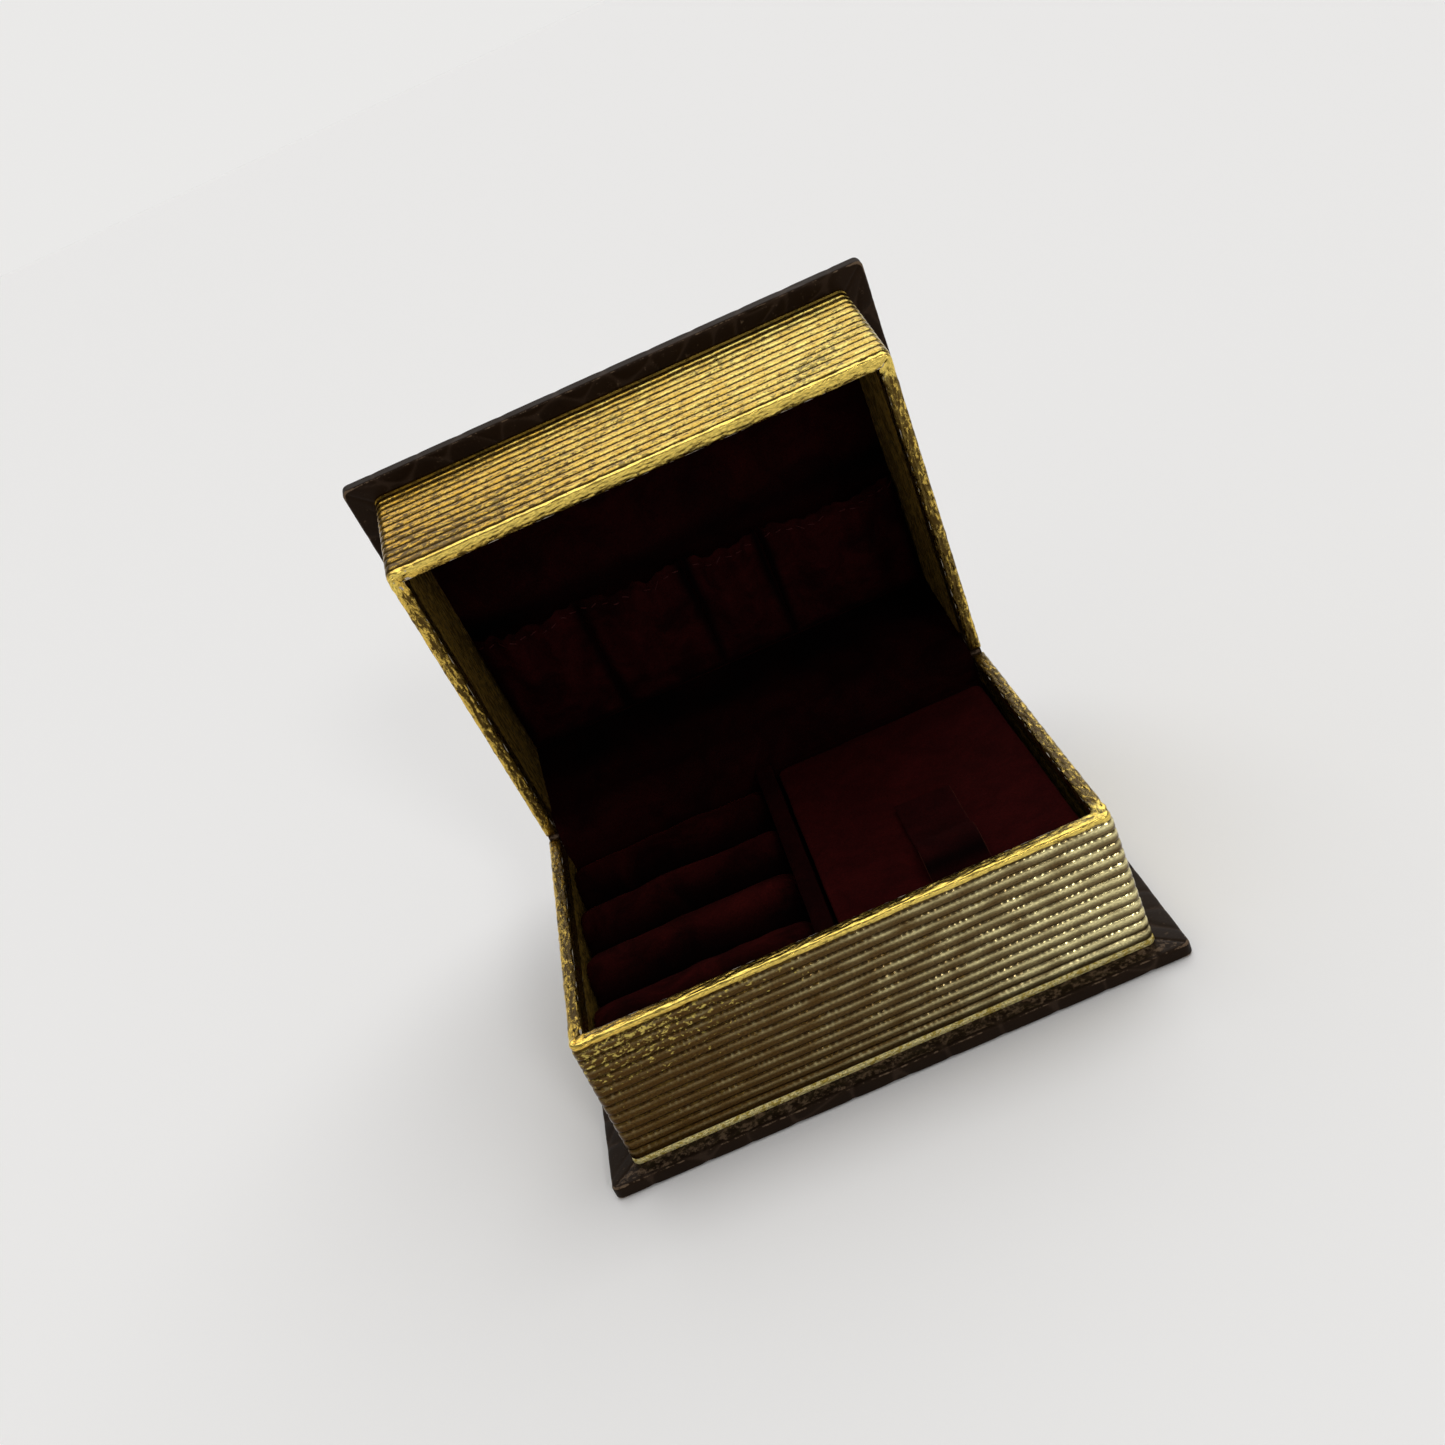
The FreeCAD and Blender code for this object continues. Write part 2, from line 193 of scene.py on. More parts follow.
def make_piece(name, points, faces, finishes, slot=None, layout=None, finish_of=None, **marks):
    """A smooth mesh object from points in millimetres and quads, with an optional UV layout and point attributes."""
    mesh = bpy.data.meshes.new(name)
    mesh.vertices.add(len(points))
    mesh.vertices.foreach_set("co", (points * mm).astype(np.float32).ravel())
    mesh.loops.add(faces.size)
    mesh.loops.foreach_set("vertex_index", faces.astype(np.int32).ravel())
    mesh.polygons.add(len(faces))
    mesh.polygons.foreach_set("loop_start", np.arange(0, faces.size, 4, dtype=np.int32))
    mesh.polygons.foreach_set("use_smooth", np.ones(len(faces), bool))
    if layout is not None:
        mesh.uv_layers.new(name="UVMap").data.foreach_set("uv", layout[faces].astype(np.float32).ravel())
    for mark, values in marks.items():
        mesh.attributes.new(mark, "FLOAT", "POINT").data.foreach_set("value", values.astype(np.float32))
    for finish in finishes:
        mesh.materials.append(finish)
    if finish_of is not None:
        mesh.polygons.foreach_set("material_index", finish_of.astype(np.int32))
    mesh.update(calc_edges=True)
    mesh.validate()
    made = bpy.data.objects.new(name, mesh)
    scene.collection.objects.link(made)
    return made if slot else made


def ripples(u, v, wave, seed):
    """Twelve sine waves of about one length, in seeded directions and phases, added up: an unevenness of about 1."""
    chance = np.random.default_rng(seed)
    turn, phase = chance.uniform(0, 2 * math.pi, (2, 12))
    length = wave * chance.uniform(0.7, 1.5, 12)
    total = 0
    for t, p, w in zip(turn, phase, length):
        total = total + np.sin(2 * math.pi * (u * math.cos(t) + v * math.sin(t)) / w + p)
    return total / 4


def hide_cells(u, v, seed):
    """Embossed hide at a point of the flat sheet: (crease, pillow). Seeds lie on a jittered brick lattice bent by
    slow waves, with small extra ones at some joints. The distance to the two nearest cell sides, joined by a soft
    minimum so that corners are round, gives a thin crease and a pillow that rises over 1.8 mm."""
    long, wide, sway, lattice = 10.5, 8.0, 0.9, 64
    softness, rise_over, crease_width, far_off = 0.7, 1.8, 0.22, 1e4
    u, v = u + sway * ripples(u, v, 17, seed + 2), v + sway * ripples(u, v, 15, seed + 3)
    jitter = np.random.default_rng(seed).uniform(-0.2, 0.2, (lattice, lattice, 4))
    extra = np.random.default_rng(seed + 1).uniform(0, 1, (lattice, lattice)) < 0.3
    row, column = np.floor(v / wide).astype(int), np.floor(u / long).astype(int)
    at = []
    for dr in (-2, -1, 0, 1, 2):
        for dc in (-2, -1, 0, 1, 2):
            r, c = row + dr, column + dc
            j = jitter[r % lattice, c % lattice]
            brick = c + 0.5 * (r % 2)
            at.append(((brick + 0.5 + j[..., 0]) * long, (r + 0.5 + j[..., 1]) * wide))
            far = np.where(extra[r % lattice, c % lattice], 0, far_off)
            at.append(((brick + 1 + j[..., 2] * 0.5) * long + far, (r + 1 + j[..., 3] * 0.5) * wide + far))
    su, sv = np.array([a for a, _ in at]), np.array([b for _, b in at])
    square = (u - su) ** 2 + (v - sv) ** 2
    near = np.argsort(square, axis=0)[:3]
    first, second, third = np.take_along_axis(square, near, 0)
    pu, pv = np.take_along_axis(su, near, 0), np.take_along_axis(sv, near, 0)
    side = (second - first) / (2 * np.maximum(np.hypot(pu[1] - pu[0], pv[1] - pv[0]), 1e-6))
    next_side = (third - first) / (2 * np.maximum(np.hypot(pu[2] - pu[0], pv[2] - pv[0]), 1e-6))
    both = np.exp(-side / softness) + np.exp(-np.minimum(next_side, 30) / softness)
    inside = np.clip(-softness * np.log(both), 0, None)
    rise = np.clip(inside / rise_over, 0, 1)
    return bell(inside, 0, crease_width), rise * (2 - rise)


def rounded(a, b, half_x, half_y, radius):
    """A unit square stretched to a rectangle, its corner squares pushed into quarter circles of that radius."""
    x, y = np.abs(a) * half_x, np.abs(b) * half_y
    dx, dy = x - (half_x - radius), y - (half_y - radius)
    both = (dx > 0) & (dy > 0)
    pull = np.where(both, np.maximum(dx, dy) / np.maximum(np.hypot(dx, dy), 1e-9), 1)
    x = np.where(both, half_x - radius + dx * pull, x)
    y = np.where(both, half_y - radius + dy * pull, y)
    return np.copysign(x, a), np.copysign(y, b)


def board_edge(first, last, radius, count, between=()):
    """(inset, height) steps over the edge of a board, from the height of its first face to that of its last: a
    quarter circle, the heights between, and another quarter circle."""
    turn = np.linspace(0, math.pi / 2, count)
    up = math.copysign(radius, last - first)
    steps = [(radius * (1 - math.sin(t)), first + up * (1 - math.cos(t))) for t in turn]
    steps += [(0, height) for height in between]
    return steps + [(radius * (1 - math.cos(t)), last - up * (1 - math.sin(t))) for t in turn]


def plate(half_x, half_y, radius, step, edge, closed):
    """A covered board: a flat face, then rings carried over the edge by edge's (inset, height) steps, and a second
    face if closed. Gives the points, the quads, each point's place on the flat sheet, its run from the first face
    along the edge, and how far along the edge it is from a corner."""
    least_radius, far_off = 0.02, 99.0
    nx, ny = round(2 * half_x / step), round(2 * half_y / step)
    a, b = np.meshgrid(np.linspace(-1, 1, nx + 1), np.linspace(-1, 1, ny + 1))
    index = np.arange(a.size).reshape(a.shape)
    rim = np.concatenate([index[0, :-1], index[:-1, -1], index[-1, :0:-1], index[:0:-1, 0]])
    ra, rb = a.ravel()[rim], b.ravel()[rim]
    edge = np.array(edge, float)
    run, inset, height = runs(edge), edge[:, :1], edge[:, 1:]

    def face_at(inset, height):
        """The points of a whole face, drawn in by an inset, at a height."""
        x, y = rounded(a, b, half_x - inset, half_y - inset, max(radius - inset, least_radius))
        return np.stack([x.ravel(), y.ravel(), np.full(a.size, height)], 1)

    face = face_at(*edge[0])
    rx, ry = rounded(ra[None], rb[None], half_x - inset, half_y - inset, np.maximum(radius - inset, least_radius))
    rings = np.stack([rx, ry, np.broadcast_to(height, rx.shape)], -1)[1:]
    points = np.concatenate([face, rings.reshape(-1, 3)])
    order = np.concatenate([rim[None], a.size + np.arange(rings.shape[0] * len(rim)).reshape(-1, len(rim))])
    strips = grid_faces(len(order), len(rim), loop=True)
    faces = [grid_faces(ny + 1, nx + 1), order.ravel()[strips][:, ::-1]]
    if closed:
        swap = len(points) + np.arange(a.size)
        swap[rim] = order[-1]
        faces.append(swap[grid_faces(ny + 1, nx + 1)][:, ::-1])
        points = np.concatenate([points, face_at(*edge[-1])])
    on_side = np.abs(ra) >= np.abs(rb)
    reach = run[1:, None]
    su = ra * half_x + np.where(np.abs(ra) == 1, np.sign(ra), 0) * reach
    sv = rb * half_y + np.where(np.abs(rb) == 1, np.sign(rb), 0) * reach
    from_corner = np.where(on_side, half_y * (1 - np.abs(rb)), half_x * (1 - np.abs(ra)))
    spare = len(points) - a.size - su.size
    sheet = np.concatenate([face[:, :2], np.stack([su, sv], -1).reshape(-1, 2), points[len(points) - spare:, :2]])
    travel = np.concatenate([np.zeros(a.size), np.broadcast_to(reach, su.shape).ravel(), np.full(spare, run[-1])])
    along = np.concatenate([np.full(a.size, far_off), np.broadcast_to(from_corner, su.shape).ravel(),
                            np.full(spare, far_off)])
    return points, np.concatenate(faces), sheet, travel, along


def attribute(tree, name):
    """The value of one of the piece's own point attributes."""
    return add(tree, "ShaderNodeAttribute", {"attribute_name": name}, {}).outputs["Fac"]


def maths(tree, operation, *values):
    """The result of one step of arithmetic."""
    return add(tree, "ShaderNodeMath", {"operation": operation}, dict(enumerate(values))).outputs["Value"]


hide, tree, shader = new_finish("crocodile_leatherette", {
    "Specular IOR Level": 0.11, "Specular Tint": (1.0, 0.70, 0.50, 1)})
dark, warm = (0.0030, 0.0017, 0.0011, 1), (0.017, 0.0092, 0.0050, 1)
# The crease colour is lighter than the hide's: a painted highlight of the gloss along each groove's edges.
creased, bared = (0.026, 0.016, 0.0105, 1), (0.12, 0.080, 0.050, 1)
place = object_place(tree)
tone = noise(tree, place, 70, 4, 0.6)
pressed = blended(tree, attribute(tree, "crease"), blended(tree, tone, dark, warm), creased)
# Paler, bared leather where the worn attribute and a noise are high: real wear, and on the base's front margin partly
# painted light.
scuff = maths(tree, "MULTIPLY", attribute(tree, "worn"), noise(tree, place, 650, 4, 0.75))
bare = spread(tree, scuff, 0.44, 0.60, curve="SMOOTHSTEP")
grain = add(tree, "ShaderNodeTexVoronoi", {}, {"Vector": place, "Scale": 2100}).outputs["Distance"]
pores = maths(tree, "ADD", grain, noise(tree, place, 5200, 2))
connect(tree, shader, {
    "Base Color": blended(tree, bare, pressed, bared),
    "Roughness": spread(tree, tone, 0.3, 0.7, 0.38, 0.54),
    "Normal": dents(tree, pores, 0.22, 0.0001)})

emboss, mitre_depth, turned_at = 0.27, 0.20, 3.4
cover_edge = board_edge(0, cover_thick, 0.6, 6, np.linspace(0.9, 2.1, 5))
cover_edge += [(inset, cover_thick) for inset in np.arange(1.0, 7.6, 0.42)]
for half, place_it, turn in halves:
    points, faces, sheet, travel, along = plate(cover_half_x, cover_half_y, cover_corner, 0.43, cover_edge, False)
    crease, pillow = hide_cells(sheet[:, 0], sheet[:, 1], 40 - turn)
    turned_in = ramp(travel, turned_at, turned_at + 0.6)
    mitre = bell(along, 0, 0.40) * turned_in
    plain = ramp(along, 1.5, 5.5)
    crease, pillow = crease * plain, 1 - (1 - pillow) * plain
    border = np.minimum(cover_half_x - np.abs(sheet[:, 0]), cover_half_y - np.abs(sheet[:, 1]))
    tight = np.where(travel > 0, np.exp(-((travel - 1.9) / 1.5) ** 6), bell(np.maximum(border, 0), 0, 1.6))
    height = -emboss * (1 - 0.3 * turned_in) * (1 - 0.8 * tight) * (1 - pillow) - mitre_depth * mitre - sunk
    worn = bell(travel, 0.47, 0.45) + bell(travel, 3.2, 0.40) + 0.5 * bell(along, 0, 2.5) * (travel > 0)
    # The base's front margin is made paler than its sides: partly real wear, partly painted light where that margin is
    # more brightly lit.
    rubbed = 0.74 if half == "lid" else np.where(sheet[:, 1] < -cover_half_y, 0.96, 0.76)
    worn = np.maximum(worn, turned_in * rubbed)
    points = place_it(lifted(points, faces[:, ::-1], height))
    leather = make_piece(half + "_cover_leather", points, faces[:, ::-turn], [hide], "leatherette",
                         crease=crease, worn=worn)
    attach(leather, half)
    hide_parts(half + "_cover_wrap")


# Spine: one strip of the same leatherette glued to both back walls. It is built folded outwards along the line where
# the two rims meet, as it lies with the lid open; the real strip lies flat when the box is shut.

up = np.concatenate([np.arange(3.0, 31.9, 0.5), np.arange(32.0, 36.2, 0.2), np.arange(36.5, 65.3, 0.5)])
side = np.array([[-55, -0.58], [-55, -0.25], [-54.92, -0.08], [-54.75, -0.02]])
flat = np.stack([np.linspace(-54.5, 54.5, 210), np.zeros(210)], 1)
across = np.concatenate([side, flat, (side * [-1, 1])[::-1]])
points, faces = surface(across[:, 0], cover_half_y + across[:, 1], up[:, None])
faces = faces[:, ::-1]
crease, pillow = hide_cells(points[:, 0], points[:, 2], 47)
fold = bell(points[:, 2], hinge_z, 1.0)
points = lifted(points, faces, -0.25 * (1 - pillow) * (1 - fold) - sunk)
points[:, 0] *= 1 - 0.012 * np.exp(-((points[:, 2] - hinge_z) / 3.0) ** 4)
points = opened(points, opening * eased(ramp(points[:, 2], hinge_z - 1.2, hinge_z + 1.2)))
spine = make_piece("spine_leather", points, faces, [hide], "leatherette", crease=np.maximum(crease, fold), worn=fold)
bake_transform(spine)
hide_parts("base_spine_panel", "lid_spine_panel")


# Page edges: gold paper pressed into twelve ridges, one strip round the front and both sides of each half, as the
# gilt edges of a book. Fine cross dents run along each ridge; the gold is rubbed through to brown in places.

wall_half_x, wall_front_y, wall_corner = 54.1, -38.025, 1.0


def round_the_walls(out, back, columns):
    """A path along the left wall, the front and the right wall, at a distance out from their outer faces, with
    rounded front corners: its points, outward normals and lengths. columns are the counts (side, corner, front)."""
    half, front, r = wall_half_x + out, wall_front_y - out, max(wall_corner + out, 0.05)
    n_side, n_turn, n_front = columns
    y = np.linspace(back, front + r, n_side)
    t = np.linspace(0, math.pi / 2, n_turn + 2)[1:-1]
    x = np.linspace(-half + r, half - r, n_front)
    left = np.stack([np.full(n_side, -half), y, np.full(n_side, -1.0), np.zeros(n_side)], 1)
    turn = np.stack([-half + r - r * np.cos(t), front + r - r * np.sin(t), -np.cos(t), -np.sin(t)], 1)
    middle = np.stack([x, np.full(n_front, front), np.zeros(n_front), np.full(n_front, -1.0)], 1)
    start = np.concatenate([left, turn])
    path = np.concatenate([start, middle, (start * [-1, 1, -1, 1])[::-1]])
    return path[:, :2], path[:, 2:], runs(path[:, :2])


def hinge_drop(y, radius, end):
    """How far the rounded back end of a side wall lies below the rim, by distance from the hinge."""
    over = np.clip(y - (end - radius), 0, radius)
    return radius - np.sqrt(np.maximum(radius ** 2 - over ** 2, 0))


def new_group(name, inputs, outputs):
    """A shader node group with these named sockets, and the sockets at which its inputs arrive."""
    group = bpy.data.node_groups.new(name, "ShaderNodeTree")
    for way, sockets in (("INPUT", inputs), ("OUTPUT", outputs)):
        for socket, kind in sockets.items():
            group.interface.new_socket(name=socket, in_out=way, socket_type="NodeSocket" + kind)
    return group, add(group, "NodeGroupInput", {}, {}).outputs


def scaled(tree, colour, by):
    """A colour made darker or lighter by a factor."""
    return add(tree, "ShaderNodeVectorMath", {"operation": "SCALE"}, {0: colour, "Scale": by}).outputs["Vector"]


foil, given = new_group("rubbed_gold", {
    "Place": "Vector", "Tarnish": "Float", "Flakes": "Float", "Size": "Float", "Gold": "Color", "Bronze": "Color"},
    {"Color": "Color", "Metal": "Float", "Roughness": "Float", "Height": "Float"})
bare_brown = (0.088, 0.050, 0.007, 1)
streak = add(foil, "ShaderNodeMapping", {}, {"Vector": given["Place"], "Scale": (0.6, 1.0, 1.0)}).outputs["Vector"]
coarse = noise(foil, streak, given["Size"], 6, 0.72)
specks = noise(foil, streak, maths(foil, "MULTIPLY", given["Size"], 4.2), 4, 0.6)
level = maths(foil, "MULTIPLY_ADD", specks, 0.4, coarse)
above = maths(foil, "SUBTRACT", level, spread(foil, given["Tarnish"], 0, 1, 0.98, 0.44))
brown = spread(foil, above, -0.02, 0.03, curve="SMOOTHSTEP")
leaf = noise(foil, given["Place"], given["Size"], 6, 0.68, 0.4)
flaking = maths(foil, "SUBTRACT", leaf, spread(foil, given["Flakes"], 0, 1, 0.80, 0.20))
bronze = spread(foil, flaking, 0.012, -0.012, curve="SMOOTHSTEP")
dulled = blended(foil, bronze, given["Gold"], given["Bronze"])
grained = scaled(foil, dulled, spread(foil, specks, 0.32, 0.68, 0.50, 1.55))
rough = maths(foil, "MULTIPLY_ADD", brown, 0.22, spread(foil, specks, 0, 1, 0.08, 0.28))
crinkle = maths(foil, "ABSOLUTE", maths(foil, "SUBTRACT", leaf, 0.5))
raised = maths(foil, "MULTIPLY_ADD", specks, 0.15, crinkle)
add(foil, "NodeGroupOutput", {}, {
    "Color": blended(foil, brown, grained, bare_brown), "Metal": spread(foil, brown, 0, 1, 1.0, 0.9),
    "Roughness": rough, "Height": maths(foil, "MULTIPLY_ADD", brown, -0.08, raised)})


def gilded(name, golds, bronzes, size, strength):
    """A gold finish on the piece's own UV, browned by its tarnish attribute and flaked by its flakes attribute. Its
    gold goes from the first of two colours to the second with the pale attribute, and the bronze under it with
    patina; both carry painted glints, highlights and reflections. The dull attribute is added to its roughness."""
    material, tree, shader = new_finish(name, {"Coat Weight": 0.06, "Coat Roughness": 0.10})
    rubbed = add(tree, "ShaderNodeGroup", {"node_tree": foil}, {
        "Place": add(tree, "ShaderNodeUVMap", {"uv_map": "UVMap"}, {}).outputs["UV"],
        "Tarnish": attribute(tree, "tarnish"), "Flakes": attribute(tree, "flakes"), "Size": size,
        "Gold": blended(tree, attribute(tree, "pale"), *golds),
        "Bronze": blended(tree, attribute(tree, "patina"), *bronzes)}).outputs
    connect(tree, shader, {
        "Base Color": rubbed["Color"], "Metallic": rubbed["Metal"],
        "Roughness": maths(tree, "ADD", rubbed["Roughness"], attribute(tree, "dull")),
        "Normal": dents(tree, rubbed["Height"], strength, 0.0002)})
    return material


# One gilt paper, coloured for each half. The base's bronze, and its turn to pale silver-gold, paint reflections of a
# dark room in front and of lamps glancing off the ridges.
papers = {"base": gilded("bronzed_paper", [(0.50, 0.30, 0.045, 1), (0.52, 0.40, 0.098, 1)],
                         [(0.070, 0.034, 0.007, 1), (0.77, 0.68, 0.345, 1)], 125.0, 0.18),
          "lid": gilded("bright_paper", [(0.38, 0.214, 0.020, 1), (0.56, 0.465, 0.125, 1)],
                        [(0.12, 0.074, 0.009, 1), (0.19, 0.142, 0.030, 1)], 125.0, 0.18)}
ridges, per_ridge, foot, pitch, relief = 12, 8, 4.2, 2.3708, 0.42
paper_out, paper_back, paper_top, flare = 0.4, 42.325, 33.8, 0.46
over = np.arange(ridges * per_ridge) + 1
share = np.floor(over / per_ridge) + 0.5 - 0.5 * np.cos(math.pi * (over % per_ridge) / per_ridge)
rise = np.concatenate([[3.0, 3.4, 3.72, 3.76, 3.9, 4.05, foot], foot + pitch * share, [33.0, 33.4, paper_top]])
for half, place_it, turn in halves:
    seed, dent_pitch, dent_depth, uv_shift = (60, 1.40, 0.10, 0) if half == "base" else (80, 1.10, 0.05, 5.3)
    path, normal, length = round_the_walls(paper_out, paper_back, (160, 5, 540))
    t, z = np.meshgrid(length, rise)
    phase = (z - foot) / pitch
    inside = (z > foot + 0.01) & (z < foot + ridges * pitch)
    part = np.where(inside, phase % 1, 0)
    slip = 0.618 * np.floor(phase) + 0.08 * part + 0.45 * ripples(t, phase * 3.0, 8, seed + 2)
    notch = (0.5 + 0.5 * np.sin(2 * math.pi * (t / dent_pitch + slip))) ** 4 * bell(part, 0.80, 0.12)
    start = ramp(part, 0, 0.13)
    form = np.sqrt(start * (2 - start)) * eased(ramp(part, 1, 0.74)) ** 0.6
    pressed = dent_depth * np.clip(0.7 + 0.8 * ripples(t, z, 9, seed + 4), 0, 2)
    pressed = pressed * np.where(np.abs(normal[:, 1]) > 0.5, 1, 0.3)
    swell = relief * form * (1 + 0.05 * ripples(t, z, 6, seed + 3)) - pressed * notch
    out = np.where(inside, np.maximum(swell, 0), flare * ramp(z, foot, foot - flare))
    sway = 0.06 * ripples(t, 0 * t, 45, seed) + 0.025 * ripples(t, z, 14, seed + 1)
    top = np.minimum(z + np.where(inside, sway, 0), paper_top - hinge_drop(path[:, 1], 1.0, 42.335)[None, :])
    points, faces = surface(path[:, 0] + normal[:, 0] * out, path[:, 1] + normal[:, 1] * out, top)

    x, y, level = points[:, 0], points[:, 1], z.ravel()
    on_front = ramp(y, -36.5, -38.0)
    valley = np.where(inside, 1 - form, 0).ravel() ** 1.5
    right = ramp(x, -54, 54) ** 2
    crest = bell(part.ravel(), 0.68, 0.09 + 0.09 * right)
    tick = (notch * np.clip(0.55 + 0.8 * ripples(t, z * 1.5, 11, seed + 7), 0, 1.2)).ravel()
    if half == "base":
        at_foot = level < foot + 0.05
        upper_left = ramp(x, 22, -40) * ramp(level, 10, 32)
        # The base's front shows little gold over its bronze, a painted dark reflection; more is left towards the upper
        # left, where real flakes of gold remain.
        flakes = np.where(on_front > 0.5, 0.36 * upper_left + 0.10, 0.50)
        tarnish = 0.26 + 0.36 * valley + 0.14 * (1 - on_front) - 0.002 * x
        pale = np.ones(len(x))
        # Painted reflection: the bronze turns to pale silver-gold towards the right, along a line on each ridge, on
        # the dents' tops as glints, in a patch low on the right and over the foot band.
        patina = right * (0.10 + 0.80 * crest + 0.8 * tick) + 0.06 * crest + 0.12 * tick
        patina = patina + 0.55 * bell(x, 44, 18) * bell(level, 9, 10) * (0.1 + crest)
        patina = np.clip(patina * (1 + 0.38 * ripples(t.ravel(), level * 2.2, 7, seed + 6)), 0, 1)
        tarnish, flakes = np.where(at_foot, 0.05, tarnish), np.where(at_foot, 0.45, flakes)
        patina = np.where(at_foot, 1, patina)
        dull = 0.30 * ramp(level, 9, 4) + 0.22 * at_foot
    else:
        # Painted light: the lid's gold and the bronze under it grow paler towards the right, and painted glints along
        # the crests and dents lighten the gold.
        patina = ramp(x, -54, 36)
        lower_left = ramp(x, 0, -54) * ramp(level, 12, 32)
        flakes = 0.63 + 0.10 * ripples(t, z, 16, seed + 8).ravel()
        tarnish = 0.34 + 0.10 * ramp(x, 20, -54) + 0.50 * valley
        tarnish = tarnish + 0.18 * lower_left * on_front + 0.10 * (1 - on_front)
        glint = np.clip(crest * (0.4 + 0.8 * ripples(t, z * 2.5, 5, seed + 9).ravel()) + 0.6 * tick, 0, 1)
        pale = np.clip(0.30 * patina + (0.25 + 0.75 * patina) * glint, 0, 1)
        dull = np.zeros(len(x))
    layout = np.stack([t.ravel() * 0.6, level], 1) / 100 + uv_shift
    paper = make_piece(half + "_gilt_edges", place_it(points), faces[:, ::turn], [papers[half]], "gold_paper",
                       layout=layout, tarnish=tarnish, flakes=flakes, pale=pale, patina=patina, dull=dull)
    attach(paper, half)
    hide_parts(half + "_page_edges")


# Rims: smooth gold foil folded over the top of the front and side walls, a short lip outside and a deeper one
# inside. It puckers at the corners. Painted highlights run along its rounded outer edge and brighten the corners and
# the left side walls, its gold is paler towards the right, and painted shade darkens the inner lip.

def wall_strip(outs, backs, columns):
    """Rows of points round the walls, one for each distance out, and the length along the first row."""
    paths = [round_the_walls(out, back, columns) for out, back in zip(outs, backs)]
    xy = np.stack([points for points, _, _ in paths])
    return xy, np.broadcast_to(paths[0][2], xy.shape[:2]).ravel()


gold_foil = gilded("gold_foil", [(0.66, 0.42, 0.070, 1), (0.72, 0.53, 0.115, 1)],
                   [(0.13, 0.080, 0.014, 1), (0.32, 0.25, 0.075, 1)], 100.0, 0.5)
lip_end = 29.9
saddle = np.array([(0.44, 32.68), (0.60, 32.76), (0.68, 33.1), (0.66, 33.5), (0.54, 33.78), (0.30, 33.93),
                   (0.0, 33.98), (-0.8, 34.0), (-1.6, 33.99), (-2.0, 33.95), (-2.28, 33.82), (-2.42, 33.5),
                   (-2.44, 33.0), (-2.44, 31.0), (-2.43, 30.1), (-2.30, lip_end)])
reach = runs(saddle)
steps = np.linspace(0, reach[-1], 44)
saddle = np.stack([np.interp(steps, reach, saddle[:, 0]), np.interp(steps, reach, saddle[:, 1])], 1)
backs = np.where(saddle[:, 0] > -2.35, 42.85, 40.0)
for half, place_it, turn in halves:
    seed, uv_shift, edge_at, edge_width = (100, 2.1, 1.4, 0.55) if half == "base" else (120, 7.7, 1.8, 1.0)
    xy, run = wall_strip(saddle[:, 0], backs, (150, 7, 210))
    z = np.maximum(saddle[:, 1:] - hinge_drop(xy[..., 1], 0.5, 42.87), lip_end)
    points, faces = surface(xy[..., 0], xy[..., 1], z)
    s = np.broadcast_to(steps[:, None], z.shape).ravel()
    corner = bell(np.hypot(np.abs(points[:, 0]) - 52.9, points[:, 1] + 36.8), 0, 4.5)
    on_top = ramp(np.abs(s - 3.0), 1.6, 0)
    crumple = 0.04 * ripples(run, s * 2, 6, seed) + 0.04 * ripples(run, s * 3, 2.4, seed + 1)
    pucker = corner * (0.16 * ripples(run, s, 2.2, seed + 2) + 0.10 * ripples(run, s, 4.0, seed + 3))
    points = lifted(points, faces, np.clip(crumple + pucker, -0.30, 0.05 + 0.2 * (1 - on_top)) - sunk)
    inner = ramp(s, 5.2, 6.4)
    on_side = ramp(points[:, 1], -34.5, -32.5)
    side = ramp(points[:, 0], -54, 54)
    # Painted light: less tarnish and more, paler gold along the outer edge's highlight, at the corners and on the left
    # sides, and paler gold towards the right; more tarnish on the inner lip is painted shade.
    edge = bell(s, edge_at, edge_width) * (1 - on_side)
    band = ramp(s, 1.8, 2.6) * (1 - inner)
    tarnish = 0.36 + 0.10 * band + 0.12 * inner + 0.08 * on_side - 0.30 * edge - 0.10 * corner
    flakes = 0.64 - 0.10 * band - (0.02 + 0.12 * side) * on_side + 0.4 * edge
    pale = side * 1.8 * (1 - 0.7 * on_side) + edge + 0.4 * on_side * (1 - side)
    layout = np.stack([run * 0.5, s], 1) / 100 + uv_shift
    rim = make_piece(half + "_rim_gilding", place_it(points), faces[:, ::turn], [gold_foil], "gold_foil",
                     layout=layout, tarnish=np.clip(tarnish, 0, 1), flakes=np.clip(flakes, 0, 1),
                     pale=np.clip(pale, 0, 1), patina=side * (1 - 0.8 * on_side))
    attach(rim, half)
    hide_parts(half + "_rim_foil")


# Wall linings: the same gold foil on thin card, glued inside the front and side walls of both halves from the
# floor up to the rim's inner lip. It is given darker colours than the rim as painted shade inside the walls, and is
# darker and browner towards the floor.

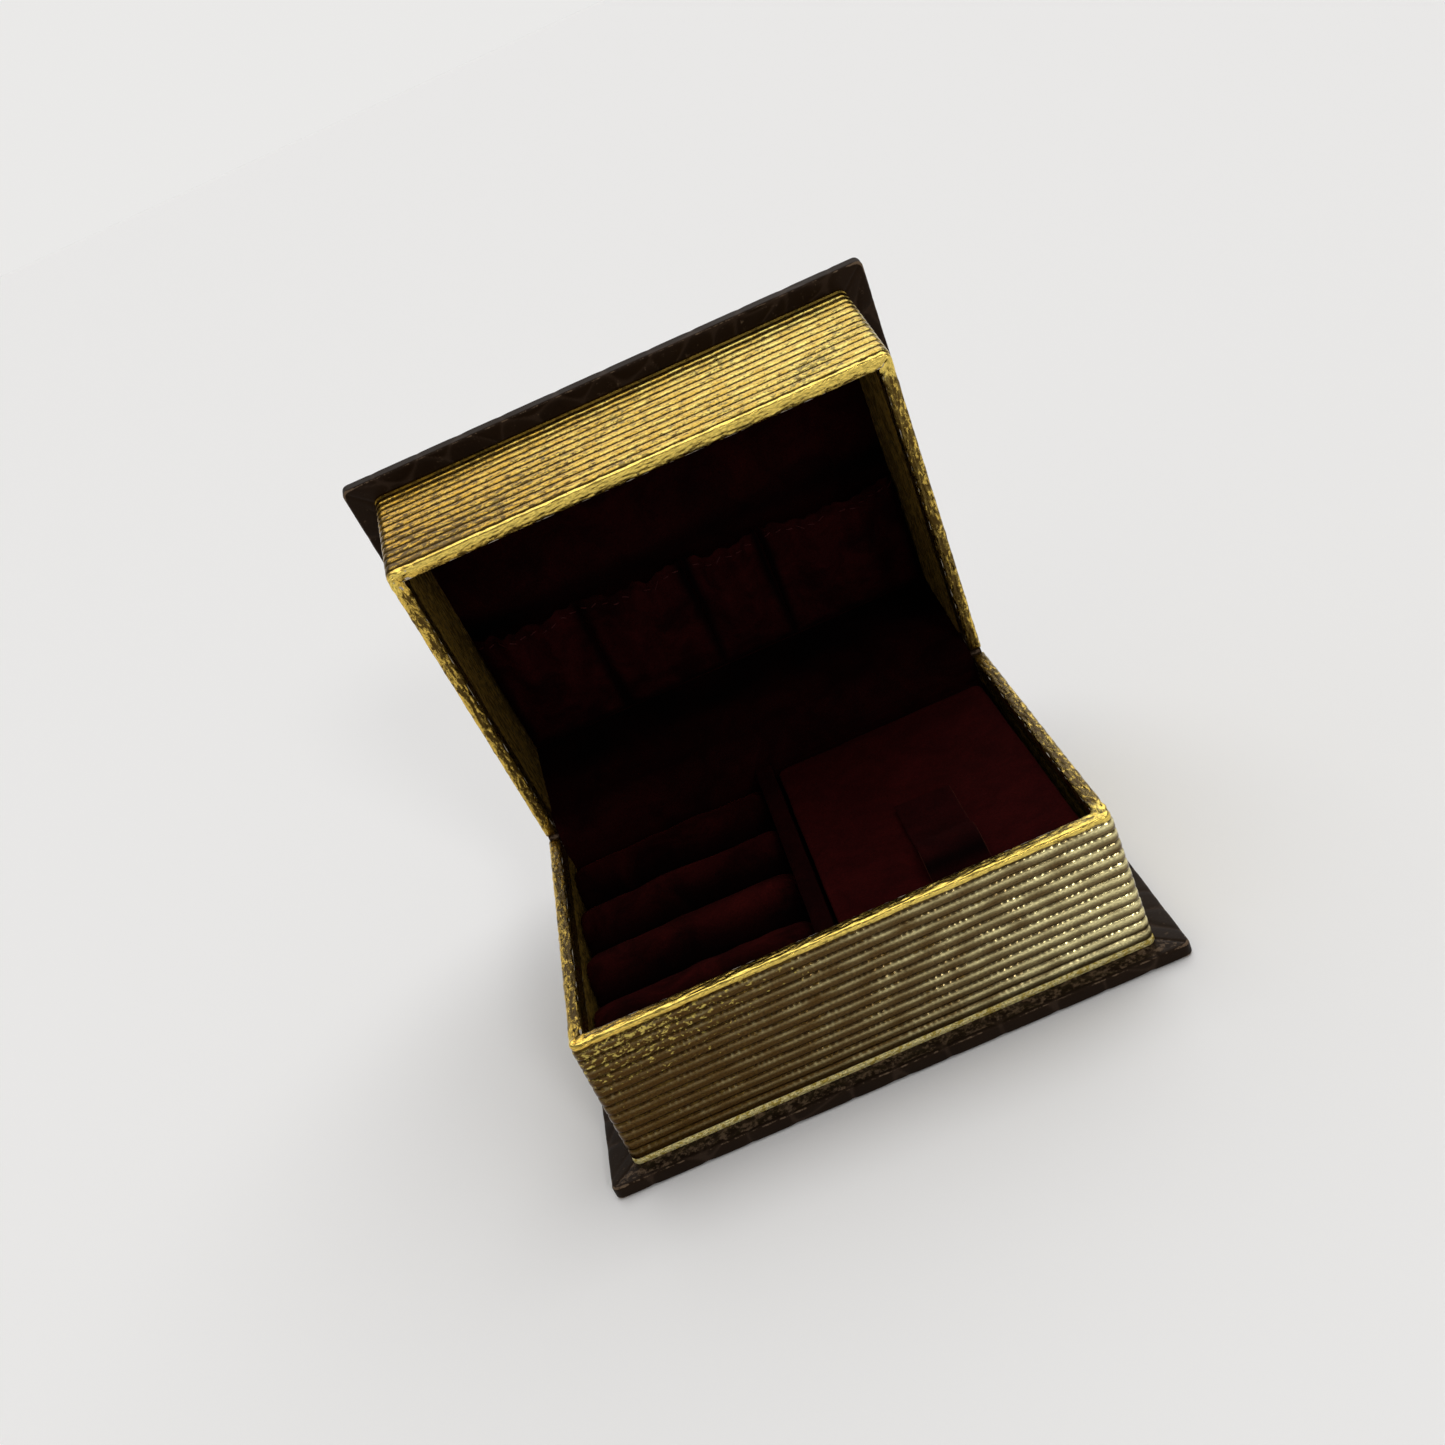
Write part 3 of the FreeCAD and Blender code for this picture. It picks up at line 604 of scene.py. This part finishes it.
dull_foil = gilded("dull_foil", [(0.42, 0.25, 0.042, 1), (0.55, 0.38, 0.085, 1)],
                   [(0.060, 0.032, 0.009, 1), (0.20, 0.14, 0.050, 1)], 90.0, 0.8)
lining_top, lining_back = 30, 39.6
turned_edge = [0, 0.3, 0.7, 1.2, 1.8]
drop = np.concatenate([turned_edge, np.linspace(2.4, 25, 33)])
proud = np.interp(drop, turned_edge, [-2.42, -2.50, -2.58, -2.66, -2.70])
for half, place_it, turn in halves:
    seed, uv_shift = (140, 3.6) if half == "base" else (144, 9.2)
    xy, run = wall_strip(proud, np.full(len(proud), lining_back), (75, 4, 100))
    points, faces = surface(xy[..., 0], xy[..., 1], lining_top - drop[:, None])
    points = lifted(points, faces, 0.05 * ripples(run, points[:, 2], 9, seed) - sunk)
    layout = np.stack([run * 0.5, points[:, 2]], 1) / 100 + uv_shift
    # Darker and browner towards the floor: more tarnish and fewer gold flakes.
    deep = ramp(points[:, 2], lining_top, lining_top - 20)
    tarnish = np.clip(0.44 + 0.08 * deep + 0.08 * ripples(run, points[:, 2], 12, seed + 1), 0, 1)
    even = np.ones(len(points))
    card = make_piece(half + "_wall_gilding", place_it(points), faces[:, ::turn], [dull_foil], "gold_foil",
                      layout=layout, tarnish=tarnish, flakes=0.62 - 0.10 * deep, pale=0.3 * even,
                      patina=0.1 * even, dull=0.30 * even)
    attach(card, half)
    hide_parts(half + "_wall_lining")


# Hinge velvet: one strip of dark oxblood velvet glued up the base's back wall and the lid's back wall, loose
# across the gap between them, where the real strip bends as the lid turns; it is built as it lies with the lid open.

pile, given = new_group("velvet_pile", {"Deep": "Color", "Brushed": "Color", "Patch": "Float", "Crushed": "Float"},
                        {"Color": "Color", "Height": "Float"})
place = object_place(pile)
lay = noise(pile, place, given["Patch"], 5, 0.62, 0.6)
nap = noise(pile, place, 2600, 3, 0.8)
cloth = blended(pile, spread(pile, lay, 0.28, 0.74, curve="SMOOTHSTEP"), given["Deep"], given["Brushed"])
tuft = spread(pile, nap, 0.25, 0.75, 0.55, 1.45)
# Painted shade: the cloth's colour is multiplied down to 0.08 of itself where the painted shade input is 1.
bright = maths(pile, "MULTIPLY", tuft, spread(pile, given["Crushed"], 0, 1, 1.0, 0.08))
add(pile, "NodeGroupOutput", {}, {
    "Color": scaled(pile, cloth, bright), "Height": maths(pile, "MULTIPLY_ADD", lay, 1.5, nap)})


def velvet(name, deep, brushed, patch, sheen, backing=None):
    """A pile fabric: dark where seen along the fibres, with a red sheen where they turn, in brushed patches. It is
    darkened as painted shade where its crushed attribute is high, and shows its backing, if it has one, where
    its cut attribute is."""
    material, tree, shader = new_finish(name, {
        "Roughness": 0.95, "Specular IOR Level": 0.02, "Sheen Weight": sheen, "Sheen Roughness": 0.35,
        "Sheen Tint": (0.42, 0.040, 0.036, 1)})
    cloth = add(tree, "ShaderNodeGroup", {"node_tree": pile}, {
        "Deep": deep, "Brushed": brushed, "Patch": patch, "Crushed": attribute(tree, "crushed")}).outputs
    colour = blended(tree, attribute(tree, "cut"), cloth["Color"], backing) if backing else cloth["Color"]
    connect(tree, shader, {"Base Color": colour, "Normal": dents(tree, cloth["Height"], 0.6, 0.0002)})
    return material


def soft_corners(points, radius, step):
    """A polyline with its corners rounded by quadratic curves that start a radius from each, evenly resampled."""
    bits = [points[:1]]
    for before, corner, after in zip(points[:-2], points[1:-1], points[2:]):
        a = corner + (before - corner) / np.linalg.norm(before - corner) * radius
        b = corner + (after - corner) / np.linalg.norm(after - corner) * radius
        t = np.linspace(0, 1, 12)[:, None]
        bits.append((1 - t) ** 2 * a + 2 * t * (1 - t) * corner + t ** 2 * b)
    line = np.concatenate(bits + [points[-1:]])
    run = runs(line)
    at = np.linspace(0, run[-1], round(run[-1] / step) + 1)
    return np.stack([np.interp(at, run, line[:, k]) for k in range(line.shape[1])], 1)


lining_velvet = velvet("lining_velvet", (0.0040, 0.0004, 0.0004, 1), (0.012, 0.0012, 0.0011, 1), 90.0, 0.04)
strip_half_x, strip_step = 51.64, 0.55
wall_line = np.array([(0, 39.62, 5.05), (0, 39.62, 32.6)])
line = soft_corners(np.concatenate([wall_line, on_lid(wall_line)[::-1]])[:, 1:], 1.9, strip_step)
x, s = np.meshgrid(np.linspace(-strip_half_x, strip_half_x, 150), np.arange(len(line)) * strip_step)
points, faces = surface(x, line[:, :1], line[:, 1:])
x, along, length = x.ravel(), s.ravel(), s.max()
loose = bell(along, length / 2, 3.0)
points = lifted(points, faces, 0.06 * ripples(x, along, 13, 150) + 0.22 * loose * ripples(x, along, 9, 151))
# Painted shade: from 70% of the way along, up the lid's back wall below the pockets, the velvet is darkened.
crushed = ramp(along, length * 0.70, length * 0.70 + 8) * (0.85 + 0.15 * ripples(points[:, 0], along, 20, 152))
strip = make_piece("hinge_velvet", points, faces, [lining_velvet], "velvet", crushed=np.clip(crushed, 0, 1))
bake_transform(strip)
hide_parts("velvet_hinge_strip")


# Divider: a board that stands on the floor between the ring rolls and the covered compartment. One piece of velvet is
# folded over its top and glued down both sides.

arch = np.array([(-4.38, 5.05), (-4.38, 31.38), (-0.42, 31.38), (-0.42, 5.05)])
line = soft_corners(arch, 1.5, 0.42)
y = np.linspace(39.55, -35.25, 120)
points, faces = surface(line[:, :1], y, line[:, 1:])
step = np.repeat(np.arange(len(line)), len(y))
points = lifted(points, faces, 0.05 * ripples(points[:, 1], step * 0.4, 10, 160) - sunk)
wrap = make_piece("divider_velvet", points, faces, [lining_velvet], "velvet")
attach(wrap, "base")
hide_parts("compartment_divider")


# Ring rolls: four padded velvet rolls lying side by side on a bed; rings are pressed into the slots between them.
# Each is a sewn tube, fullest in the middle, its ends tucked in.

# The roll velvet is the lining velvet made lighter, for the painted light on the rolls' tops.
roll_pile = velvet("roll_velvet", (0.0070, 0.0007, 0.0006, 1), (0.034, 0.0032, 0.0028, 1), 95.0, 0.08)
roll_pitch, first_y, bed_z = 18.7375, -35.325, 10.0
roll_left, roll_right, end_length, end_depth = -51.1, -4.7, 3.6, 1.5
spring_z, crest_z, side_lean, middle_columns = 10, 19.3, 0.5, 58
end = np.linspace(0, math.pi / 2, 9)
end_x, end_in = end_length * (1 - np.sin(end)), end_depth * (1 - np.cos(end))
x = np.concatenate([roll_left + end_x[::-1], np.linspace(-46.9, -9.3, middle_columns), roll_right - end_x])
shrink = np.concatenate([end_in[::-1], np.zeros(middle_columns), end_in])
phi, down = np.linspace(0, math.pi, 34), np.linspace(0, 1, 9)[1:]
for number in range(1, 5):
    middle, half_width = first_y + (number - 0.5) * roll_pitch, roll_pitch / 2 - 0.18
    chance = np.random.default_rng(170 + number)
    crest = crest_z + 0.5 * np.sin(math.pi * ramp(x, roll_left, roll_right)) - shrink
    crest = crest - 0.35 * (0.5 + 0.5 * ripples(x, 0 * x, 26, 175 + number)) * chance.uniform(0.6, 1.0)
    lean = chance.uniform(-0.5, 0.5)
    half_w = (half_width - shrink)[:, None]
    over_y = half_w * np.cos(phi) * (1 - 0.03 * np.sin(phi)) + lean * np.sin(phi)
    over_z = spring_z + (crest - spring_z)[:, None] * np.sin(phi) ** 0.92
    left_y, left_z = -half_w + side_lean * down, spring_z * (1 - down) + 0 * half_w
    foot_y = (-half_w + side_lean) + (2 * half_w - 2 * side_lean) * np.linspace(0, 1, 12)[1:-1]
    section_y = np.concatenate([over_y, left_y, foot_y, -left_y[:, ::-1]], 1)
    section_z = np.concatenate([over_z, left_z, 0 * foot_y, left_z[:, ::-1]], 1)
    points = np.stack([np.broadcast_to(x[:, None], section_y.shape), middle + section_y, bed_z + section_z], -1)
    cap = np.linspace(0.75, 0, 4)[:, None, None]
    hub = [points[k].mean(0) * [1, 1, 0] + [0, 0, bed_z + 8] for k in (0, -1)]
    first = hub[0] + (points[0] - hub[0]) * cap[::-1]
    last = hub[1] + (points[-1] - hub[1]) * cap
    points = np.concatenate([first, points, last])
    rows, columns = points.shape[:2]
    points, faces = points.reshape(-1, 3), grid_faces(rows, columns, loop=True)
    along, around = points[:, 0], np.tile(np.linspace(0, 60, columns), rows)
    upper = ramp(points[:, 2], bed_z + 9, bed_z + 13)
    near_end = bell(np.abs(along - (roll_left + roll_right) / 2), (roll_right - roll_left) / 2, 3.0)
    soft = 0.20 * ripples(along, around, 15, 180 + number) + 0.10 * ripples(along, around, 6, 190 + number)
    tucks = 0.22 * near_end * np.sin(around * 2.3 + 1.5 * ripples(along, around, 8, 200 + number))
    points = lifted(points, faces, upper * (soft + tucks))
    # Painted light: a band along the top of each roll keeps its colour, and the rest of the roll is darkened as
    # painted shade.
    rubbed = bell(points[:, 1], middle + 1.0, 5.5) * ramp(points[:, 2], bed_z + 14, bed_z + 18)
    crushed = 1 - rubbed * (0.8 + 0.25 * ripples(points[:, 0], points[:, 1], 16, 205 + number))
    roll = make_piece(f"ring_roll_velvet_{number}", points, faces, [roll_pile], "roll_velvet",
                      crushed=np.clip(crushed, 0, 0.97))
    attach(roll, "base")
    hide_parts(f"ring_roll_{number}")


# Covered compartment: a velvet pad glued to its floor and two velvet-covered strips, in front and behind, on which
# the flap lies.

left, right = -0.4, 51.4
for name, node_name, front, back, low, high, seed in (
        ("compartment_pad_velvet", "compartment_floor_pad", -35.325, 39.6, 5.0, 6.5, 210),
        ("flap_rest_velvet", "flap_rest_front", -35.325, -31.025, 26.5, 28.5, 211),
        ("flap_rail_velvet", "flap_hinge_rail", 31.075, 39.6, 26.5, 28.5, 212)):
    edge = board_edge(high - 0.04, low + 0.02, min(0.6, (high - low) / 2.2), 5)
    points, faces, _, _, _ = plate((right - left) / 2 - sunk, (back - front) / 2 - sunk, 0.9, 0.8, edge, True)
    points = lifted(points, faces, 0.04 * ripples(points[:, 0], points[:, 1], 9, seed) - 0.05)
    points += [(left + right) / 2, (front + back) / 2, 0]
    made = make_piece(name, points, faces, [lining_velvet], "velvet")
    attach(made, "base")
    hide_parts(node_name)


# Flap: a board wrapped in velvet, lighter than the lining velvet as painted light, the flap being the most brightly
# lit cloth in the box. It lies on its strips with a narrow gap all round, and a strip of thin velvet behind it is its
# hinge.

flap_pile = velvet("flap_velvet", (0.0145, 0.0012, 0.0012, 1), (0.0255, 0.0021, 0.0020, 1), 130.0, 0.06)
flap_half_x, flap_half_y, flap_middle = 24.88, 34.5, [25.3, 0.025, 0]
edge = board_edge(30.97, 28.52, 0.55, 6, (30.0, 29.5))
points, faces, _, _, _ = plate(flap_half_x, flap_half_y, 2.0, 0.62, edge, True)
x, y, _ = points.T
points = lifted(points, faces, 0.06 * ripples(x, y, 16, 220) + 0.03 * ripples(x, y, 6, 221) - 0.06) + flap_middle
flap = make_piece("flap_velvet_wrap", points, faces, [flap_pile], "flap_velvet_pile")
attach(flap, "flap")
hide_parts("flap_velvet")

sag = np.array([(34.56, 30.5), (34.58, 29.2), (34.95, 28.75), (35.8, 28.76), (37.6, 28.84), (39.5, 28.95),
                (39.5, 32.4)])
line = soft_corners(sag, 0.25, 0.3)
points, faces = surface(np.linspace(-0.3, 51.3, 70), line[:, :1], line[:, 1:])
points = lifted(points, faces, 0.05 * ripples(points[:, 0], points[:, 1], 7, 230))
tape = make_piece("flap_hinge_velvet", points, faces, [lining_velvet], "velvet")
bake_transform(tape)
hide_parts("flap_hinge_tape")


# Pull tab: a velvet ribbon sewn to the flap's front edge. It arches where it leaves the edge, then lies back over
# the flap; its cut edges show a thin line of pale backing, along all the right edge but only the front of the left:
# partly real backing, partly a painted highlight where the right edge catches the light.

ribbon_pile = velvet("ribbon_velvet", (0.0080, 0.0008, 0.0008, 1), (0.0160, 0.0015, 0.0015, 1), 110.0, 0.03,
                     backing=(0.10, 0.036, 0.020, 1))
tab_length, tab_half, tab_x, tab_y, tab_z = 31, 6, 26, -33.525, 31.18
arch_length, arch_height = 16, 2.4
run = np.linspace(0, tab_length, 90)
arch = np.where(run < arch_length, arch_height * np.sin(math.pi * ramp(run, 0, arch_length)) ** 1.15, 0)
arch = arch + 0.28 * ramp(run, 25, tab_length) ** 2
top_x = np.linspace(-tab_half, tab_half, 25)
loop_x = np.concatenate([top_x, [6.06, 6.06], top_x[::-1], [-6.06, -6.06]])
loop_z = np.concatenate([np.full(25, 0.56), [0.46, 0.20], np.full(25, 0.08), [0.20, 0.46]])
cut_edge = np.tile(np.append(np.zeros(25), [1, 1]), 2)
skew = ramp(run, 20, tab_length)[:, None] * (-0.05 * loop_x[None, :])
x = tab_x + loop_x[None, :] + 0.12 * ripples(run, 0 * run, 18, 240)[:, None]
y = tab_y + run[:, None] + skew
z = tab_z + arch[:, None] + loop_z[None, :] + 0.05 * ripples(x, y, 8, 241)
points = np.stack([np.broadcast_to(x, y.shape), y, z], -1)
first, last = (np.broadcast_to(points[k].mean(0), points[:1].shape) for k in (0, -1))
points = np.concatenate([first, points, last])
rows, columns = points.shape[:2]
# Only the first 8 mm of the left edge shows the pale line; the whole right edge shows it, as a painted highlight.
frayed = np.concatenate([[0], ramp(run, 10, 8), [0]])[:, None]
cut_edge = np.where(np.arange(columns) > 27, frayed, 1.0) * cut_edge
# Painted shade: the ribbon is darkened where it arches up from the flap's edge.
crushed = np.concatenate([[0], bell(run, 3.5, 2.6), [0]])[:, None] * np.ones(columns)
tab = make_piece("ribbon_tab", points.reshape(-1, 3), grid_faces(rows, columns, loop=True), [ribbon_pile],
                 "velvet_ribbon", cut=cut_edge.ravel(), crushed=0.9 * crushed.ravel())
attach(tab, "ribbon")
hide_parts("pull_tab")


# Lid floor: one piece of velvet glued flat over the inside of the lid, between the foil on its walls. It is bare in
# front of the pockets, and darkened as painted shade just in front of their hem and at the sides.

points, faces = surface(np.linspace(-51.35, 51.35, 110), np.linspace(-35.28, 39.58, 82)[:, None], 5.92)
x, y, _ = points.T
points = lifted(points, faces, 0.06 * ripples(x, y, 14, 250))
crushed = 0.75 * bell(y, 1.5, 4.0) + 0.4 * ramp(np.abs(x), 0, 51) ** 6
floor_cloth = make_piece("lid_floor_velvet", on_lid(points), faces[:, ::-1], [lining_velvet], "velvet",
                         crushed=np.clip(crushed, 0, 1))
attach(floor_cloth, "lid")
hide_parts("lid_floor_lining")


# Lid pockets: one strip of velvet gathered on an elastic hem, sewn down along its bottom and between the pockets,
# with a running stitch below the hem. Each half of a pocket bends from its sewn side to the pocket's middle.

# The pocket velvet is the lining velvet made a little lighter: painted light, as the pockets are lit more than the
# bare lid floor.
pocket_pile = velvet("pocket_velvet", (0.0050, 0.0005, 0.0005, 1), (0.017, 0.0017, 0.0017, 1), 130.0, 0.06)
thread, tree, shader = new_finish("hem_thread", {"Roughness": 0.6, "Specular IOR Level": 0.12})
dye = blended(tree, noise(tree, object_place(tree), 1800, 2), (0.013, 0.0015, 0.0015, 1), (0.040, 0.005, 0.005, 1))
connect(tree, shader, {"Base Color": dye})

seam_y, lowest_z, pinch_depth = 38.125, 6.35, 0.35
edges_x = np.array([-51.0, -26.0, -0.5, 18.0, 51.0])
hem_width, stitch_pitch, stitch_half, thread_radius = 2.3, 2.5, 0.8, 0.17


def pocket_height(x):
    """From the bottom seam to the hem, a little lower towards the right."""
    return 37.0 - 4.5 * (x + 51.4) / 102.8


def pocket_surface(x, share, left, right):
    """Height of the pocket's cloth over the lid's floor at x and at a share of the way from the seam to the hem:
    a bow that is full in the middle of the pocket and flat at its sewn sides, with three soft folds, and with small
    gathers that grow towards the elastic hem."""
    across = ramp(x, left, right)
    swell = np.sin(math.pi * across) ** 0.5
    fold = 1 - 0.3 * (1 - np.cos(6 * math.pi * across)) / 2
    full = 0.12 + 0.88 * swell * fold
    down = (1 - share) * pocket_height(x)
    gather = np.exp(-np.clip(down, 0, None) / 6.0) * ripples(x, down * 0.12, 3.4, 260)
    crush = 0.35 * ripples(x, down, 9, 261) * np.sin(math.pi * np.clip(share, 0, 1))
    return 7.35 + full * (15.2 * share - 9.6 * share ** 2) + (0.15 + 0.85 * swell) * (0.55 * gather + crush)


def pocket_cloth(x0, x1, left, right):
    """Half a pocket from the turned-in hem down to the seam, its points and quads: the surface above, a little
    ruffled at the hem and pinched along the line of the stitches."""
    rows = np.concatenate([np.linspace(0.90, 1.0, 7), np.linspace(1.0, 0.0, 74)])
    under = np.concatenate([np.linspace(0.95, 0.75, 7)[:-1], [0.35], np.zeros(74)])
    x, share = np.meshgrid(np.linspace(x0, x1, round((x1 - x0) / 0.27)), rows)
    ruffle = 0.30 * ripples(x, 0 * x, 3.0, 262) * ramp(share, 0.9, 1.0)
    pinch = pinch_depth * bell((1 - share) * pocket_height(x), hem_width, 1.0)
    z = pocket_surface(x, share, left, right) - under[:, None] - pinch
    y = seam_y - share * pocket_height(x) + ruffle
    return surface(x, y, np.maximum(z, lowest_z))


def running_stitch(x0, x1, left, right):
    """Short fat spindles of thread lying on the cloth a hem's width below its edge, each turned a little."""
    first, last = math.ceil((x0 + 0.9) / stitch_pitch), math.floor((x1 - 0.9) / stitch_pitch)
    middle = (np.arange(first, last + 1) * stitch_pitch)[:, None, None]
    a, b = np.meshgrid(np.linspace(0, 2 * math.pi, 7)[:-1], np.linspace(-1, 1, 7))
    thick = thread_radius * np.sqrt(np.clip(1 - b ** 4, 0.02, 1))
    x = middle + stitch_half * b
    share = 1 - hem_width / pocket_height(x)
    y = seam_y - share * pocket_height(x) + thick * np.cos(a) + 0.45 * b * np.cos(middle * 7.1)
    z = np.maximum(pocket_surface(x, share, left, right) - pinch_depth, lowest_z) + 0.10 + thick * np.sin(a)
    faces = np.arange(len(middle))[:, None, None] * a.size + grid_faces(*a.shape, loop=True)
    return np.stack([x, y, z], -1).reshape(-1, 3), faces.reshape(-1, 4)[:, ::-1]


for number, (left, right) in enumerate(zip(edges_x[:-1], edges_x[1:]), start=1):
    middle = (left + right) / 2
    for side, x0, x1 in (("left", left, middle), ("right", middle, right)):
        cloth_points, cloth_faces = pocket_cloth(x0, x1, left, right)
        stitch_points, stitch_faces = running_stitch(x0, x1, left, right)
        points = np.concatenate([cloth_points, stitch_points])
        faces = np.concatenate([cloth_faces, stitch_faces + len(cloth_points)])
        kind = np.concatenate([np.zeros(len(cloth_faces)), np.ones(len(stitch_faces))])
        x, y, _ = points.T
        # Painted shade: the cloth is darkened along its sewn sides and along the bottom seam, with an uneven tone over
        # it.
        crushed = bell(np.minimum(x - left, right - x), 0, 1.7) * (np.arange(len(points)) < len(cloth_points))
        crushed = np.maximum(crushed, bell((seam_y - y) / pocket_height(x), 0, 0.05))
        crushed = crushed + 0.25 * ripples(x * 1.6, y * 0.5, 12, 264)
        pocket = make_piece(f"pocket_{number}_{side}", on_lid(points), faces[:, ::-1], [pocket_pile, thread], "velvet",
                            finish_of=kind, crushed=np.clip(crushed, 0, 0.97))
        sewn, loose = (left, middle) if side == "left" else (right, middle)
        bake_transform(pocket)
        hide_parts(f"pocket_front_{number}")


# Table, light and camera: a plain pale table, one broad soft lamp above and behind, a smaller one in front at the
# right, and a dim even room.

table, _, _ = new_finish("pale_table", {
    "Base Color": (0.93, 0.925, 0.92, 1), "Roughness": 0.9, "Specular IOR Level": 0.1})
ground = 6000.0 * np.array([(-1, -1, 0), (1, -1, 0), (1, 1, 0), (-1, 1, 0)])
make_piece("table_top", ground, np.array([[0, 1, 2, 3]]), [table])

room = bpy.data.worlds.new("room")
scene.world = room
room.use_nodes = True
tree = room.node_tree
tree.nodes.clear()
toward = add(tree, "ShaderNodeTexCoord", {}, {}).outputs["Generated"]
height = add(tree, "ShaderNodeSeparateXYZ", {}, {"Vector": toward}).outputs["Z"]
low = spread(tree, height, 0.42, 0.16, curve="SMOOTHSTEP")
backdrop = blended(tree, low, (0.24, 0.235, 0.23, 1), (0.825, 0.818, 0.808, 1))
sky = add(tree, "ShaderNodeBackground", {}, {"Color": backdrop, "Strength": 1.0})
add(tree, "ShaderNodeOutputWorld", {}, {"Surface": sky.outputs["Background"]})

for name, toward, power, width in (("key", (-0.18, -0.42, -0.88), 1.85, 72), ("fill", (-0.32, 0.84, -0.44), 0.45, 10)):
    lamp = bpy.data.lights.new(name, "SUN")
    lamp.energy, lamp.angle = power, math.radians(width)
    light = bpy.data.objects.new(name, lamp)
    back = -np.array(toward) / np.linalg.norm(toward)
    right = np.cross((0, 0, 1), back)
    right /= np.linalg.norm(right)
    light.matrix_world = Matrix(np.stack([right, np.cross(back, right), back], 1).tolist()).to_4x4()
    scene.collection.objects.link(light)

view = bpy.data.cameras.new("view")
view.lens, view.sensor_width = 39.889, 36.0
view.clip_start, view.clip_end = 0.01, 50
camera = bpy.data.objects.new("view", view)
camera.matrix_world = Matrix(((0.91467, 0.40262, 0.03577, 0.006554),
                              (-0.14492, 0.40924, -0.90084, -0.286241),
                              (-0.37734, 0.81879, 0.43267, 0.201795),
                              (0, 0, 0, 1)))
scene.collection.objects.link(camera)
scene.camera = camera
scene.view_settings.view_transform = "Standard"
